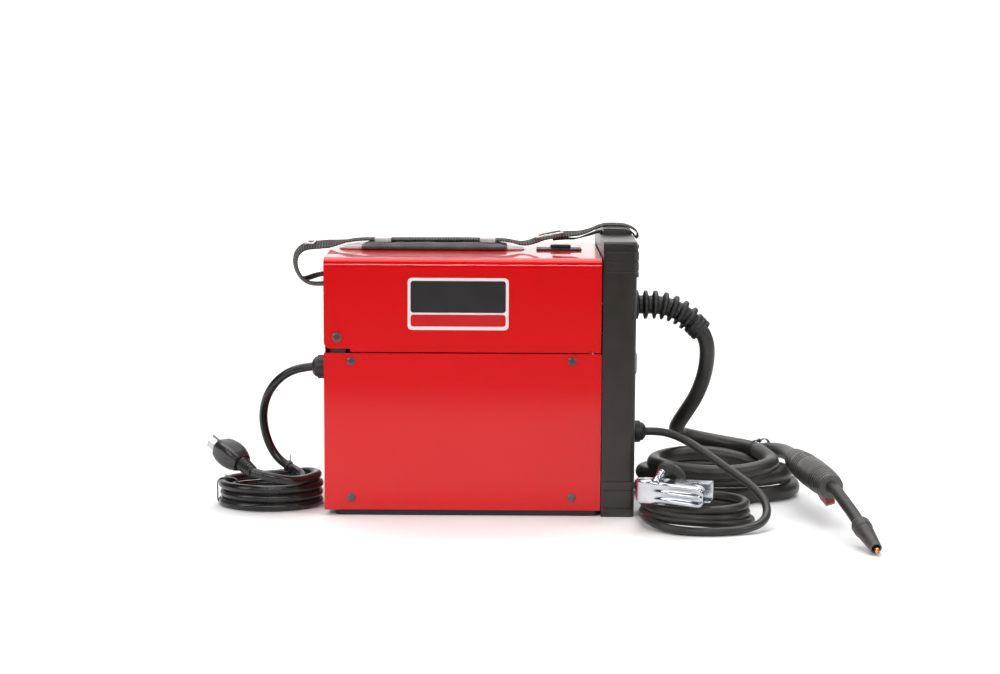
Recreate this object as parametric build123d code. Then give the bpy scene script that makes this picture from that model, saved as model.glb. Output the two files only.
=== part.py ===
from build123d import *
import os
from math import atan2, cos, degrees, pi, radians, sin, tan

# A compact wire-feed welding machine. Millimetres, +Z up, +X out of the machine's front.
# The origin is the middle of the case's footprint, on the face that it stands on.

# ---- driving dimensions ---------------------------------------------------------------
CASE_REAR = -167.0        # outer face of the case's rear wall
CASE_FRONT = 126.0        # front edge of the side panels
HALF_W = 105.0            # half the case's width
LID_TOP = 275.0           # top of the lid
SEAM = 175.0              # height of the seam between side panel and lid
SHEET = 1.2               # sheet steel of the case
INSIDE = HALF_W - SHEET   # half the width inside the sheet steel
BEZEL_REAR = 126.6        # moulded front
BEZEL_FRONT = 162.0
BEZEL_HALF_W = 106.0
BEZEL_TOP = 293.6
CAP_FRONT = 164.0         # the bezel's upper band stands a little further out
HINGE_X, HINGE_Z = -153.0, 191.4
DECK = 150.0              # underside of the shelf between wire bay and power bay
GUN_Y, WIRE_Z = -20.0, 217.5
FIT = 0.06                # radial clearance of a running fit
GAP = 0.3                 # gap between pieces that move past each other

GUN_CABLE_D, WORK_CABLE_D, MAINS_CORD_D = 17.0, 8.8, 9.4


# ---- helpers --------------------------------------------------------------------------
def block(x0, x1, y0, y1, z0, z1):
    """Box between two corners."""
    return Pos((x0 + x1) / 2, (y0 + y1) / 2, (z0 + z1) / 2) * Box(x1 - x0, y1 - y0, z1 - z0)


def rod(start, end, radius):
    """Cylinder between two points."""
    start, end = Vector(*start), Vector(*end)
    base = Plane(origin=start, z_dir=end - start)
    low = (Align.CENTER, Align.CENTER, Align.MIN)
    return base * Cylinder(radius, (end - start).length, align=low)


def pipe(start, end, outer, inner):
    """Round pipe between two points."""
    return rod(start, end, outer) - rod(start, end, inner)


def turned(profile, place=Plane.XY):
    """Solid of revolution: (distance along the axis, radius) pairs about the plane's z axis."""
    outline = Polyline(*[(radius, 0, along) for along, radius in profile], close=True)
    return place * revolve(make_face(outline), Axis.Z)


def smooth_route(points):
    """Straight runs joined by tangent arcs, and the arcs' radii."""
    corners = [Vector(*p) for p in points]
    radii = []
    for before, at, after in zip(corners, corners[1:], corners[2:]):
        turn = radians((at - before).get_angle(after - at))
        shorter = min((at - before).length, (after - at).length)
        radii.append(0.45 * shorter / tan(turn / 2))
    return FilletPolyline(*corners, radius=radii), radii


def start_plane(points, across):
    """Plane square to the first run, with its x direction along across."""
    first, second = Vector(*points[0]), Vector(*points[1])
    return Plane(origin=first, x_dir=across, z_dir=second - first)


def cord_tube(points, diameter, name):
    """Round tube along a cord's route."""
    path, radii = smooth_route(points)
    tube = sweep(start_plane(points, (0.1, 0.2, 1)) * Circle(diameter / 2), path=path)
    expected = pi * diameter ** 2 / 4 * path.length
    print(f"{name}: {path.length:.0f} mm, radii {[round(r) for r in radii]}, "
          f"volume over section x length {tube.volume / expected:.3f}")
    return tube


def ribbon(points, y_low, y_high, thickness):
    """Webbing of one width along a route of (x, z) points."""
    middle = (y_low + y_high) / 2
    places = [(x, middle, z) for x, z in points]
    path, _ = smooth_route(places)
    section = start_plane(places, (0, 1, 0)) * Rectangle(y_high - y_low, thickness)
    return sweep(section, path=path)


def oval_ring(centre, outer, inner, low, high):
    """Upright-walled oval ring: the outer shape of a coil of cable."""
    place = Pos(centre[0], centre[1], low)
    ring = Ellipse(*outer) - Ellipse(*inner)
    return place * extrude(ring, high - low)


def mirror_y(shape):
    """The same shape on the other side of the machine."""
    return mirror(shape, Plane.XZ)


# ---- case -----------------------------------------------------------------------------
def base_tray():
    """Moulded tray that the machine stands on: ribbed underside, shallow pan inside."""
    tray = block(-156, CASE_FRONT, -101, 101, 0, 10)
    tray = fillet(tray.edges().filter_by(Axis.Z), 8)
    tray -= block(-151, CASE_FRONT - 5, -96, 96, 4.5, 10)
    for rib_x in (-95, -80, -8, 5):
        tray += block(rib_x - 2, rib_x + 2, -60, 60, 4.5, 10)
    for x0, x1 in ((-148, -78), (-70, -4), (4, 56), (64, 118)):
        for y0, y1 in ((-93, -4), (4, 93)):
            tray -= block(x0, x1, y0, y1, 0, 2.5)
    return tray


PANEL_LOW, PANEL_HIGH = 6.6, 174.5
SCREW_PLACES = [(-138.2, 166.0), (94.9, 167.0), (-138.5, 19.6), (95.3, 20.4)]


def side_panel():
    """Lower side panel, on the -Y side, with a return at the rear and along the top."""
    panel = block(CASE_REAR, CASE_FRONT, -HALF_W, -INSIDE, PANEL_LOW, PANEL_HIGH)
    panel += block(CASE_REAR, CASE_REAR + SHEET, -HALF_W, -94, PANEL_LOW, PANEL_HIGH)
    panel += block(-138, 120, -HALF_W, -96, PANEL_HIGH - SHEET, PANEL_HIGH)
    for x, z in SCREW_PLACES:
        panel -= rod((x, -HALF_W - 1, z), (x, -INSIDE + 1, z), 2.3)
    return panel


GLAND_Y, GLAND_Z = -45.0, 151.0
FAN_Y, FAN_Z, FAN_R = 20.0, 75.0, 40.0


def rear_panel():
    """Rear wall, with the fan's louvres and the mains gland's hole."""
    rear = block(CASE_REAR + SHEET, CASE_REAR + 2 * SHEET, -INSIDE + GAP, INSIDE - GAP, 8, 203.4)
    rear -= rod((-170, GLAND_Y, GLAND_Z), (-160, GLAND_Y, GLAND_Z), 9.0)
    for row in range(8):
        low = FAN_Z - 37 + row * 10
        rear -= block(-170, -160, FAN_Y - 38, FAN_Y + 38, low, low + 4)
    return rear


def divider_deck():
    """Shelf between the wire bay and the power bay."""
    deck = block(-162, 125, -INSIDE + GAP, INSIDE - GAP, DECK, DECK + 1.5)
    return deck - block(-163, -150, GLAND_Y - 21, GLAND_Y + 21, DECK - 1, DECK + 3)


def hinge_brackets():
    """Moulded blocks inside the rear corners that the lid's pivot screws go into."""
    side = block(-160, -144, -103.3, -91, DECK + 1.5, 198)
    side = fillet(side.edges().filter_by(Axis.Y).group_by(Axis.Z)[-1], 6)
    side -= rod((HINGE_X, -104, HINGE_Z), (HINGE_X, -93, HINGE_Z), 3)
    return side + mirror_y(side)


def pan_head_screw(x, z, shank, head, outer_face, length):
    """Screw in a side panel on the -Y side, with a cross recess."""
    profile = [(0, 0), (0, head), (-1.0, head * 0.96), (-2.0, head * 0.62), (-2.2, 0)]
    place = Plane(origin=(x, outer_face, z), x_dir=(1, 0, 0), z_dir=(0, 1, 0))
    screw = turned(profile, place) + rod((x, outer_face, z), (x, outer_face + length, z), shank)
    for wide, tall in ((4.4, 0.9), (0.9, 4.4)):
        screw -= block(x - wide / 2, x + wide / 2, outer_face - 3, outer_face - 1.1,
                       z - tall / 2, z + tall / 2)
    return screw


def case_screws():
    """Panel screws and the lid's two pivot screws."""
    screws = [pan_head_screw(x, z, 2.1, 4.7, -HALF_W, 7) for x, z in SCREW_PLACES]
    screws.append(pan_head_screw(HINGE_X, HINGE_Z, 3, 5.2, -HALF_W - GAP, 11))
    return Compound(screws + [mirror_y(screw) for screw in screws])


# ---- moulded front --------------------------------------------------------------------
KNOB_Z, SPEED_Y, VOLTAGE_Y = 148.0, 15.0, 62.0
ROCKER_Y, ROCKER_Z = 38.0, 110.0
WORK_Y, WORK_Z = -60.0, 84.5
GROOVES = [(9.1, 10.1), (28.0, 29.0), (37.8, 38.8), (261.4, 263.0), (271.9, 273.5), (282.2, 286.6)]
GROOVE_DEPTH = 0.9


def bezel_blank(inset):
    """Outer shape of the moulded front, drawn in by inset."""
    body = block(BEZEL_REAR, BEZEL_FRONT - inset, -BEZEL_HALF_W + inset, BEZEL_HALF_W - inset,
                 0, BEZEL_TOP)
    body = fillet(body.edges().filter_by(Axis.Z).group_by(Axis.X)[-1], 5)
    band = block(BEZEL_REAR, CAP_FRONT - inset, -BEZEL_HALF_W + inset, BEZEL_HALF_W - inset,
                 256, 290)
    band = fillet(band.edges().filter_by(Axis.Z).group_by(Axis.X)[-1], 5)
    body = fillet(body.edges().group_by(Axis.Z)[-1].filter_by(Axis.X), 3)
    return body + band


def strap_bridge():
    """Raised bridge on top of the bezel with a slot for the strap."""
    outline = Polyline((130, BEZEL_TOP - 1), (130, 300.5), (153, 300.5), (161, 297.6),
                       (161, BEZEL_TOP - 1), close=True)
    side = Plane(origin=(0, -22, 0), x_dir=(1, 0, 0), z_dir=(0, -1, 0))
    bridge = extrude(side * make_face(outline), -50)
    return bridge - block(125, 165, -4, 24, BEZEL_TOP + 0.1, 296.3)


def front_bezel():
    """Hollow moulded front: open behind the power bay and wire bay, closed above the lid."""
    bezel = bezel_blank(0)
    core = bezel_blank(GROOVE_DEPTH)
    for low, high in GROOVES:
        bezel -= block(BEZEL_REAR + 3, 170, -110, 110, low, high) - core
    bezel -= block(BEZEL_REAR - 1, 158, -102.5, 102.5, 3, 262)
    bezel -= block(BEZEL_REAR + 3, 158, -102.5, 102.5, 255, 290.4)
    bezel += strap_bridge()
    bezel -= block(125, 131, 1, 12.5, 268.5, 274.5)
    bezel -= rod((150, GUN_Y, WIRE_Z), (170, GUN_Y, WIRE_Z), 12)
    bezel -= rod((150, WORK_Y, WORK_Z), (170, WORK_Y, WORK_Z), 9)
    for y in (SPEED_Y, VOLTAGE_Y):
        bezel -= rod((150, y, KNOB_Z), (170, y, KNOB_Z), 4.7)
    bezel -= block(150, 170, ROCKER_Y - 7.5, ROCKER_Y + 7.5, ROCKER_Z - 11, ROCKER_Z + 11)
    for row in range(7):
        low = 22 + row * 8
        bezel -= block(150, 170, -10, 88, low, low + 3.5)
    return bezel


PANEL_FACE = 163.4


def control_panel():
    """Thin plate on the bezel's front that carries the knobs and the power switch."""
    plate = block(BEZEL_FRONT, PANEL_FACE, -12, 90, 90, 178)
    plate = fillet(plate.edges().filter_by(Axis.X), 6)
    for y in (SPEED_Y, VOLTAGE_Y):
        plate -= rod((150, y, KNOB_Z), (170, y, KNOB_Z), 4.7)
    return plate - block(150, 170, ROCKER_Y - 7.5, ROCKER_Y + 7.5, ROCKER_Z - 11, ROCKER_Z + 11)


def power_switch_body():
    """Switch housing with a rim on the panel and a hollow for the rocker."""
    body = block(140, PANEL_FACE, ROCKER_Y - 7.4, ROCKER_Y + 7.4, ROCKER_Z - 10.9, ROCKER_Z + 10.9)
    body += block(PANEL_FACE, PANEL_FACE + 1.4, ROCKER_Y - 9, ROCKER_Y + 9,
                  ROCKER_Z - 13, ROCKER_Z + 13)
    return body - block(150, 170, ROCKER_Y - 6, ROCKER_Y + 6, ROCKER_Z - 9.5, ROCKER_Z + 9.5)


ROCKER_TILT = 10.0
ROCKER_PIVOT_X = 159.7


def power_rocker():
    """Rocker pressed at its lower end, turning about a pin along Y."""
    centre = (ROCKER_PIVOT_X, ROCKER_Y, ROCKER_Z)
    half = 5.7
    rocker = rod((ROCKER_PIVOT_X, ROCKER_Y - half, ROCKER_Z),
                 (ROCKER_PIVOT_X, ROCKER_Y + half, ROCKER_Z), 9.1)
    for side in (-1, 1):
        lean = Rot(0, side * ROCKER_TILT, 0)
        rocker -= Pos(*centre) * lean * Pos(6.2 + 10, 0, side * 10) * Box(20, 20, 20)
    return Pos(*centre) * Rot(0, ROCKER_TILT, 0) * Pos(*[-c for c in centre]) * rocker


def control_pots():
    """The two controls behind the panel, with the bushings that the knob stems turn in."""
    pots = []
    for y in (SPEED_Y, VOLTAGE_Y):
        pot = rod((138, y, KNOB_Z), (152, y, KNOB_Z), 9) + rod((152, y, KNOB_Z),
                                                               (163, y, KNOB_Z), 4.6)
        pots.append(pot - rod((150, y, KNOB_Z), (164, y, KNOB_Z), 3 + FIT))
    return Compound(pots)


KNOB_R, KNOB_FRONT = 13.0, 170.4


def knob(y):
    """Fluted knob with a raised pointer and a stem that reaches into its bushing."""
    back = PANEL_FACE + 0.4
    body = rod((back, y, KNOB_Z), (KNOB_FRONT, y, KNOB_Z), KNOB_R)
    body = fillet(body.edges().group_by(Axis.X)[-1], 1.5)
    for flute in range(16):
        angle = 2 * pi * flute / 16
        side_y = y + (KNOB_R + 0.9) * sin(angle)
        side_z = KNOB_Z + (KNOB_R + 0.9) * cos(angle)
        body -= rod((back + 1.6, side_y, side_z), (KNOB_FRONT + 1, side_y, side_z), 1.8)
    body += rod((151, y, KNOB_Z), (back, y, KNOB_Z), 3)
    return body + block(KNOB_FRONT - 1, KNOB_FRONT + 0.8, y - 0.9, y + 0.9, KNOB_Z, KNOB_Z + 10)


# ---- power bay ------------------------------------------------------------------------
CORE_X0, CORE_X1, CORE_Z0, CORE_Z1, CORE_HALF_Y = -98.0, 8.0, 10.0, 98.0, 34.0
LEG, WINDOW = 18.0, 17.0


def transformer_core():
    """Laminated core with a centre leg and two windows."""
    core = block(CORE_X0, CORE_X1, -CORE_HALF_Y, CORE_HALF_Y, CORE_Z0, CORE_Z1)
    for x0 in (CORE_X0 + LEG, CORE_X1 - LEG - WINDOW):
        core -= block(x0, x0 + WINDOW, -CORE_HALF_Y - 1, CORE_HALF_Y + 1,
                      CORE_Z0 + LEG, CORE_Z1 - LEG)
    return core


def transformer_windings():
    """Copper winding round the centre leg."""
    x0, x1 = CORE_X0 + LEG, CORE_X1 - LEG
    coil = block(x0 + 0.5, x1 - 0.5, -CORE_HALF_Y - 15, CORE_HALF_Y + 15,
                 CORE_Z0 + LEG + 0.5, CORE_Z1 - LEG - 0.5)
    coil = fillet(coil.edges().filter_by(Axis.Z), 10)
    return coil - block(x0 + WINDOW, x1 - WINDOW, -CORE_HALF_Y, CORE_HALF_Y, 0, 120)


def rectifier_heatsink():
    """Finned heatsink with its rectifier block."""
    sink = block(30, 104, -70, -66, 10, 80)
    for fin in range(9):
        x = 33 + fin * 8
        sink += block(x, x + 2, -66, -38, 10, 80)
    return sink + block(50, 84, -82, -70, 28, 62)


def control_board():
    """Circuit board behind the controls, with its larger components."""
    board = block(130, 131.6, -5, 95, 92, 188)
    board += block(131.6, 150, 60, 80, 96, 118)
    board += rod((131.6, 0, 172), (151, 0, 172), 8)
    board += rod((131.6, 8, 100), (147, 8, 100), 6)
    return board + block(131.6, 143, 22, 52, 166, 182)


def fan_shroud():
    """Square fan frame with the motor held in its middle by struts."""
    size = FAN_R + 6
    frame = block(-163, -138, FAN_Y - size, FAN_Y + size, FAN_Z - size, FAN_Z + size)
    frame -= rod((-165, FAN_Y, FAN_Z), (-130, FAN_Y, FAN_Z), FAN_R + 2)
    motor = rod((-146, FAN_Y, FAN_Z), (-138, FAN_Y, FAN_Z), 15)
    struts = block(-142, -138, FAN_Y - 43, FAN_Y + 43, FAN_Z - 2.5, FAN_Z + 2.5)
    struts += block(-142, -138, FAN_Y - 2.5, FAN_Y + 2.5, FAN_Z - 43, FAN_Z + 43)
    return frame + motor + struts - rod((-150, FAN_Y, FAN_Z), (-141, FAN_Y, FAN_Z), 2 + FIT)


def fan_blades():
    """Fan rotor: hub, shaft and pitched blades."""
    rotor = rod((-160, FAN_Y, FAN_Z), (-146.6, FAN_Y, FAN_Z), 15)
    rotor += rod((-147, FAN_Y, FAN_Z), (-142, FAN_Y, FAN_Z), 2)
    for blade in range(7):
        vane = Pos(-153.3, 0, 26.5) * Rot(0, 0, 32) * Box(1.8, 16, 26)
        rotor += Pos(0, FAN_Y, FAN_Z) * Rot(360 * blade / 7, 0, 0) * vane
    return rotor


# ---- wire bay -------------------------------------------------------------------------
PLATE_Y0, PLATE_Y1 = 10.0, 13.0
SPOOL_X, SPOOL_Z, SPOOL_R = -62.0, 212.0, 51.0
POST_R = 7.95
ROLL_X, DRIVE_R, IDLE_R = 90.0, 15.0, 11.0
DRIVE_Z = WIRE_Z - 0.4 - DRIVE_R
IDLE_Z = WIRE_Z + 0.4 + IDLE_R
ARM_X, ARM_Z = 62.0, 232.0


def feed_plate():
    """Upright partition that carries the spool and the wire feeder."""
    plate = block(-140, 118, PLATE_Y0, PLATE_Y1, DECK + 1.5, 262)
    plate += block(-140, 118, PLATE_Y1, 26, DECK + 1.5, DECK + 3.5)
    plate = fillet(plate.edges().filter_by(Axis.Y).group_by(Axis.Z)[-1], 12)
    return plate - rod((ROLL_X, 5, DRIVE_Z), (ROLL_X, 20, DRIVE_Z), 6)


def feed_motor():
    """Gearmotor behind the partition."""
    motor = block(62, 114, PLATE_Y1, 37, 184, 222)
    motor = fillet(motor.edges().filter_by(Axis.Y), 5)
    motor += rod((88, 37, 203), (88, 88, 203), 17)
    motor += rod((88, 88, 203), (88, 92, 203), 7)
    return motor - rod((ROLL_X, 5, DRIVE_Z), (ROLL_X, 24, DRIVE_Z), 4 + FIT)


def grooved_roll(centre_z, radius, y0, y1):
    """Roll about a line along Y, with a wire groove at the wire's place."""
    roll = rod((ROLL_X, y0, centre_z), (ROLL_X, y1, centre_z), radius)
    groove = [(GUN_Y - 1.2, radius + 1), (GUN_Y, radius - 0.7), (GUN_Y + 1.2, radius + 1)]
    place = Plane(origin=(ROLL_X, 0, centre_z), x_dir=(1, 0, 0), z_dir=(0, 1, 0))
    return roll - turned(groove, place)


def drive_roll():
    """Knurled drive roll on its shaft."""
    roll = grooved_roll(DRIVE_Z, DRIVE_R, -27, -13)
    roll += rod((ROLL_X, -13, DRIVE_Z), (ROLL_X, 22, DRIVE_Z), 4)
    for pin in range(3):
        angle = 2 * pi * pin / 3
        x, z = ROLL_X + 9 * cos(angle), DRIVE_Z + 9 * sin(angle)
        roll -= rod((x, -28, z), (x, -23, z), 2)
    return roll


def idle_roll():
    """Idle roll that presses the wire down."""
    roll = grooved_roll(IDLE_Z, IDLE_R, -25, -15)
    return roll - rod((ROLL_X, -40, IDLE_Z), (ROLL_X, 0, IDLE_Z), 3 + FIT)


def pressure_arm():
    """Arm over the rolls: hinge eye, idle roll's pin and the tension stud."""
    arm = block(ARM_X, 116, -34, -29, 225, 236) + rod((ARM_X, -34, ARM_Z), (ARM_X, -29, ARM_Z), 7)
    arm += block(96, 112, -40, -29, 225, 236)
    arm += rod((ROLL_X, -29, IDLE_Z), (ROLL_X, -13, IDLE_Z), 3)
    arm += rod((104, -33, 236), (104, -33, 250), 3)
    return arm - rod((ARM_X, -40, ARM_Z), (ARM_X, -20, ARM_Z), 4 + FIT)


def tension_knob():
    """Knurled knob on the pressure arm's stud."""
    nut = rod((104, -33, 236.4), (104, -33, 250.4), 9)
    nut = fillet(nut.edges().group_by(Axis.Z)[-1], 1.5)
    for flute in range(12):
        angle = 2 * pi * flute / 12
        x, y = 104 + 9.6 * cos(angle), -33 + 9.6 * sin(angle)
        nut -= rod((x, y, 239), (x, y, 252), 1.4)
    return nut - rod((104, -33, 230), (104, -33, 250.15), 3 + FIT)


def wire_guides():
    """Inlet guide, the pressure arm's post and the outlet socket that the gun plugs into."""
    guides = block(44, 58, -27, PLATE_Y0, 212, 223)
    guides += rod((40, GUN_Y, WIRE_Z), (74, GUN_Y, WIRE_Z), 3)
    guides += rod((ARM_X, -36, ARM_Z), (ARM_X, PLATE_Y0, ARM_Z), 4)
    guides += block(108, 120, -27.5, PLATE_Y0, 207, 228 - 4)
    guides += rod((107, GUN_Y, WIRE_Z), (BEZEL_FRONT, GUN_Y, WIRE_Z), 6)
    guides += rod((146, GUN_Y, WIRE_Z), (BEZEL_FRONT, GUN_Y, WIRE_Z), 11.8)
    return guides - rod((30, GUN_Y, WIRE_Z), (170, GUN_Y, WIRE_Z), 1.2)


def spool_post():
    """Post that the wire spool turns on."""
    post = rod((SPOOL_X, PLATE_Y0, SPOOL_Z), (SPOOL_X, -50, SPOOL_Z), POST_R)
    return post + rod((SPOOL_X, PLATE_Y0, SPOOL_Z), (SPOOL_X, 4, SPOOL_Z), 16)


def spool_nut():
    """Wing nut that keeps the spool on its post."""
    nut = pipe((SPOOL_X, -50, SPOOL_Z), (SPOOL_X, -44.8, SPOOL_Z), 14, POST_R)
    wing = block(SPOOL_X - 21, SPOOL_X + 21, -55, -50, SPOOL_Z - 3, SPOOL_Z + 3)
    return nut + fillet(wing.edges().filter_by(Axis.Y), 2.5)


def wire_spool():
    """Spool of flanges and hub, with windows in the flanges."""
    spool = rod((SPOOL_X, -44, SPOOL_Z), (SPOOL_X, 1.5, SPOOL_Z), 22)
    for y in (-44, -1.5):
        flange = rod((SPOOL_X, y, SPOOL_Z), (SPOOL_X, y + 3, SPOOL_Z), SPOOL_R)
        for window in range(6):
            angle = 2 * pi * window / 6
            x, z = SPOOL_X + 46 * cos(angle), SPOOL_Z + 46 * sin(angle)
            flange -= rod((x, y - 1, z), (x, y + 4, z), 2.5)
        spool += flange
    return spool - rod((SPOOL_X, -60, SPOOL_Z), (SPOOL_X, 20, SPOOL_Z), POST_R + FIT)


def welding_wire():
    """Flux-cored wire wound on the spool."""
    return pipe((SPOOL_X, -41, SPOOL_Z), (SPOOL_X, -1.5, SPOOL_Z), 41, 22)


# ---- gun lead -------------------------------------------------------------------------
BELLOWS_STRAIGHT, BELLOWS_R, BELLOWS_TURN = 22.0, 62.0, 45.0
COLLAR_L = 16.0


def bellows_line():
    """Axis of the bellows: straight out of the front, then bending down."""
    start = (BEZEL_FRONT, GUN_Y, WIRE_Z)
    straight_end = (BEZEL_FRONT + BELLOWS_STRAIGHT, GUN_Y, WIRE_Z)
    turn = radians(BELLOWS_TURN)
    low = (straight_end[0] + BELLOWS_R * sin(turn), GUN_Y,
           WIRE_Z - BELLOWS_R * (1 - cos(turn)))
    straight = Line(start, straight_end)
    bend = TangentArc(straight_end, low, tangent=(1, 0, 0))
    return straight + bend, low


def gun_bellows():
    """Ribbed strain relief and the collar at its end, as two solids."""
    line, low = bellows_line()
    section = Plane(origin=(BEZEL_FRONT, GUN_Y, WIRE_Z), z_dir=(1, 0, 0))
    body = sweep(section * Circle(11), path=line)
    ribs = 9
    for rib in range(ribs):
        along = (rib + 0.5) / ribs
        here = line @ along
        ahead = line % along
        place = Plane(origin=here - ahead * 2, z_dir=ahead)
        low_end = (Align.CENTER, Align.CENTER, Align.MIN)
        body += place * Cylinder(15.5 - 1.5 * along, 4, align=low_end)
    turn = radians(BELLOWS_TURN)
    end = (low[0] + COLLAR_L * cos(turn), GUN_Y, low[2] - COLLAR_L * sin(turn))
    return Compound([body, rod(low, end, 13)])


GUN_LEAD = [(239.15, -20, 188.03), (246, -19.7, 178.5), (248.8, -17, 160), (246.5, -11, 138),
            (239, 0, 114), (228.5, 15, 93.5), (220.5, 31, 76.5), (219.5, 45, 67), (226, 58, 62),
            (241, 67.5, 58.5), (262, 72, 54), (284, 69, 48)]
GUN_TAIL = [(300, 62, 40), (317, 54, 43.5), (331, 40, 45.6), (340, 22, 46), (344.5, 5, 45.4),
            (346, -12, 45)]


def gun_cable_coil():
    """Outer shape of the gun cable's loose turns: a wide low turn and narrower ones on it."""
    low = oval_ring((262, 16), (95, 95), (62, 62), 0, 26)
    return low + oval_ring((248, 14), (80, 80), (48, 48), 26, 51)


# ---- gun ------------------------------------------------------------------------------
HANDLE_REAR, HANDLE_FRONT = Vector(346, -12, 45), Vector(364, -150, 43)
NOZZLE_END, TIP_END = Vector(389.8, -272, 7.0), Vector(391.4, -279, 4.4)
HANDLE_AXIS = (HANDLE_FRONT - HANDLE_REAR).normalized()
HANDLE_L = (HANDLE_FRONT - HANDLE_REAR).length
NOZZLE_AXIS = (TIP_END - NOZZLE_END).normalized()
NOZZLE_L = 46.0
GUN_DOWN = (NOZZLE_AXIS - HANDLE_AXIS * NOZZLE_AXIS.dot(HANDLE_AXIS)).normalized()
HANDLE = Plane(origin=HANDLE_REAR, x_dir=GUN_DOWN, z_dir=HANDLE_AXIS)
HANDLE_SHAPE = [(0, 12.4), (12, 13.6), (35, 15.4), (70, 16.2), (105, 15.6), (128, 14.2),
                (HANDLE_L, 12.6)]
TRIGGER_PIN = (11.0, 88.0)      # towards the gun's underside, and along the handle
TRIGGER_LONG = 34.0


def gun_handle(side):
    """One half of the handle, split along the trigger's plane."""
    grip = turned([(0, 0)] + HANDLE_SHAPE + [(HANDLE_L, 0)])
    grip -= Pos(0, 0, 10) * Cylinder(8.8, HANDLE_L - 18,
                                     align=(Align.CENTER, Align.CENTER, Align.MIN))
    slot = Pos(16, 0, TRIGGER_PIN[1] + 15) * Box(32, 10.4, TRIGGER_LONG + 12)
    grip -= slot
    for rib in range(4):
        grip -= turned([(36 + rib * 6, 14.9), (36 + rib * 6, 18), (38 + rib * 6, 18),
                        (38 + rib * 6, 14.9)])
    grip -= rod((TRIGGER_PIN[0], -20, TRIGGER_PIN[1]), (TRIGGER_PIN[0], 20, TRIGGER_PIN[1]),
                1.5 + FIT)
    half = Pos(0, side * 20, HANDLE_L / 2) * Box(60, 40, HANDLE_L + 4)
    return HANDLE * (grip & half)


def gun_trigger():
    """Trigger with its pin, hinged at its rear end."""
    x, along = TRIGGER_PIN
    outline = Polyline((x - 4, along - 3.5), (x + 6, along - 3.5), (x + 12, along + 8),
                       (x + 14.5, along + TRIGGER_LONG - 6), (x + 11, along + TRIGGER_LONG - 2),
                       (x - 4, along + TRIGGER_LONG - 2), close=True)
    side = Plane(origin=(0, 4.7, 0), x_dir=(1, 0, 0), z_dir=(0, -1, 0))
    blade = extrude(side * make_face(outline), 9.4)
    blade += rod((x, -9, along), (x, 9, along), 1.5)
    return HANDLE * blade


def gun_neck():
    """Insulated neck from the handle to the nozzle, bent at its middle."""
    nozzle_start = NOZZLE_END - NOZZLE_AXIS * NOZZLE_L
    bend = nozzle_start - NOZZLE_AXIS * 22
    middle = HANDLE_FRONT + HANDLE_AXIS * 18
    points = [HANDLE_FRONT, middle, bend, nozzle_start]
    path, _ = smooth_route([tuple(p) for p in points])
    section = Plane(origin=HANDLE_FRONT, z_dir=HANDLE_AXIS)
    return sweep(section * Circle(6.3), path=path)


def nozzle_plane():
    """Plane at the nozzle's rear, looking along it."""
    return Plane(origin=NOZZLE_END - NOZZLE_AXIS * NOZZLE_L, z_dir=NOZZLE_AXIS)


def gun_nozzle():
    """Tapered nozzle with a collar at its rear."""
    profile = [(0, 4.0), (0, 8.6), (3, 9.7), (12, 9.7), (14, 8.9), (NOZZLE_L, 5.9),
               (NOZZLE_L, 4.6), (16, 6.0), (10, 6.0), (10, 4.0)]
    return turned(profile, nozzle_plane())


def contact_tip():
    """Copper contact tip with the wire's end standing out of it."""
    end = NOZZLE_L + 4.6
    profile = [(0, 0), (0, 4.0), (16, 4.0), (18, 2.8), (end, 2.8), (end + 2, 1.8),
               (end + 2, 0.45), (end + 5, 0.45), (end + 5, 0)]
    return turned(profile, nozzle_plane())


# ---- work lead ------------------------------------------------------------------------
WORK_LEAD = [(176, -60, 84.5), (189, -60.3, 85), (205, -64, 82.3), (221.5, -74, 76), (239, -88, 66.5),
             (256.5, -102, 55.5), (273, -113.5, 45.5), (287, -125.5, 36.5), (295.5, -138, 27.5),
             (298, -151, 19), (294.5, -164, 12), (284.5, -176, 7.5), (268, -186, 5.2),
             (247, -192, 4.8), (224, -193.5, 4.6), (202, -188.5, 4.8), (184, -177, 6.5),
             (172.5, -161, 10)]
WORK_TAIL = [(174, -115, 13.5), (172, -102.5, 16), (171.3, -89.8, 18.8), (173, -77.3, 22),
             (179.8, -66.6, 25.6), (190.7, -60.4, 29.4), (203.4, -59.3, 33.4), (215.1, -64.1, 37.4),
             (223.5, -73.6, 41.4), (226.8, -85.9, 45.4), (224.5, -98.6, 49.6), (215, -114.5, 54.6),
             (206.5, -132.5, 59.2), (196.5, -150, 62.8)]


def gland(place, ring, cap, ring_l, cap_l, thread_l, bore):
    """Cable gland: threaded body and nut inside the wall, ring and domed cap outside."""
    profile = [(-thread_l, bore), (-thread_l, 8.9), (0, 8.9), (0, ring), (ring_l, ring),
               (ring_l, cap), (ring_l + cap_l * 0.5, cap * 0.94), (ring_l + cap_l, cap * 0.62),
               (ring_l + cap_l, bore)]
    return turned(profile, place)


def work_gland():
    """Gland where the work lead leaves the front."""
    place = Plane(origin=(BEZEL_FRONT, WORK_Y, WORK_Z), z_dir=(1, 0, 0))
    body = gland(place, 11.8, 10.2, 8, 6, 14, 3)
    return body + pipe((154, WORK_Y, WORK_Z), (158, WORK_Y, WORK_Z), 12, 8.9)


def work_cable_coil():
    """Outer shape of the work lead's turns."""
    return oval_ring((222, -136), (60, 49), (36, 26), 0, 28)


CLAMP_PIVOT = Vector(186.1, -170.0, 42.2)
CLAMP_TURN = degrees(atan2(-28, 71))
CLAMP = Plane(origin=CLAMP_PIVOT, x_dir=(cos(radians(CLAMP_TURN)), sin(radians(CLAMP_TURN)), 0),
              z_dir=(0, 0, 1))
JAW_L, GRIP_L = 26.0, 49.0
CLAMP_LUG = ((187, -171, 64), (179, -175, 52))


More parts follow.
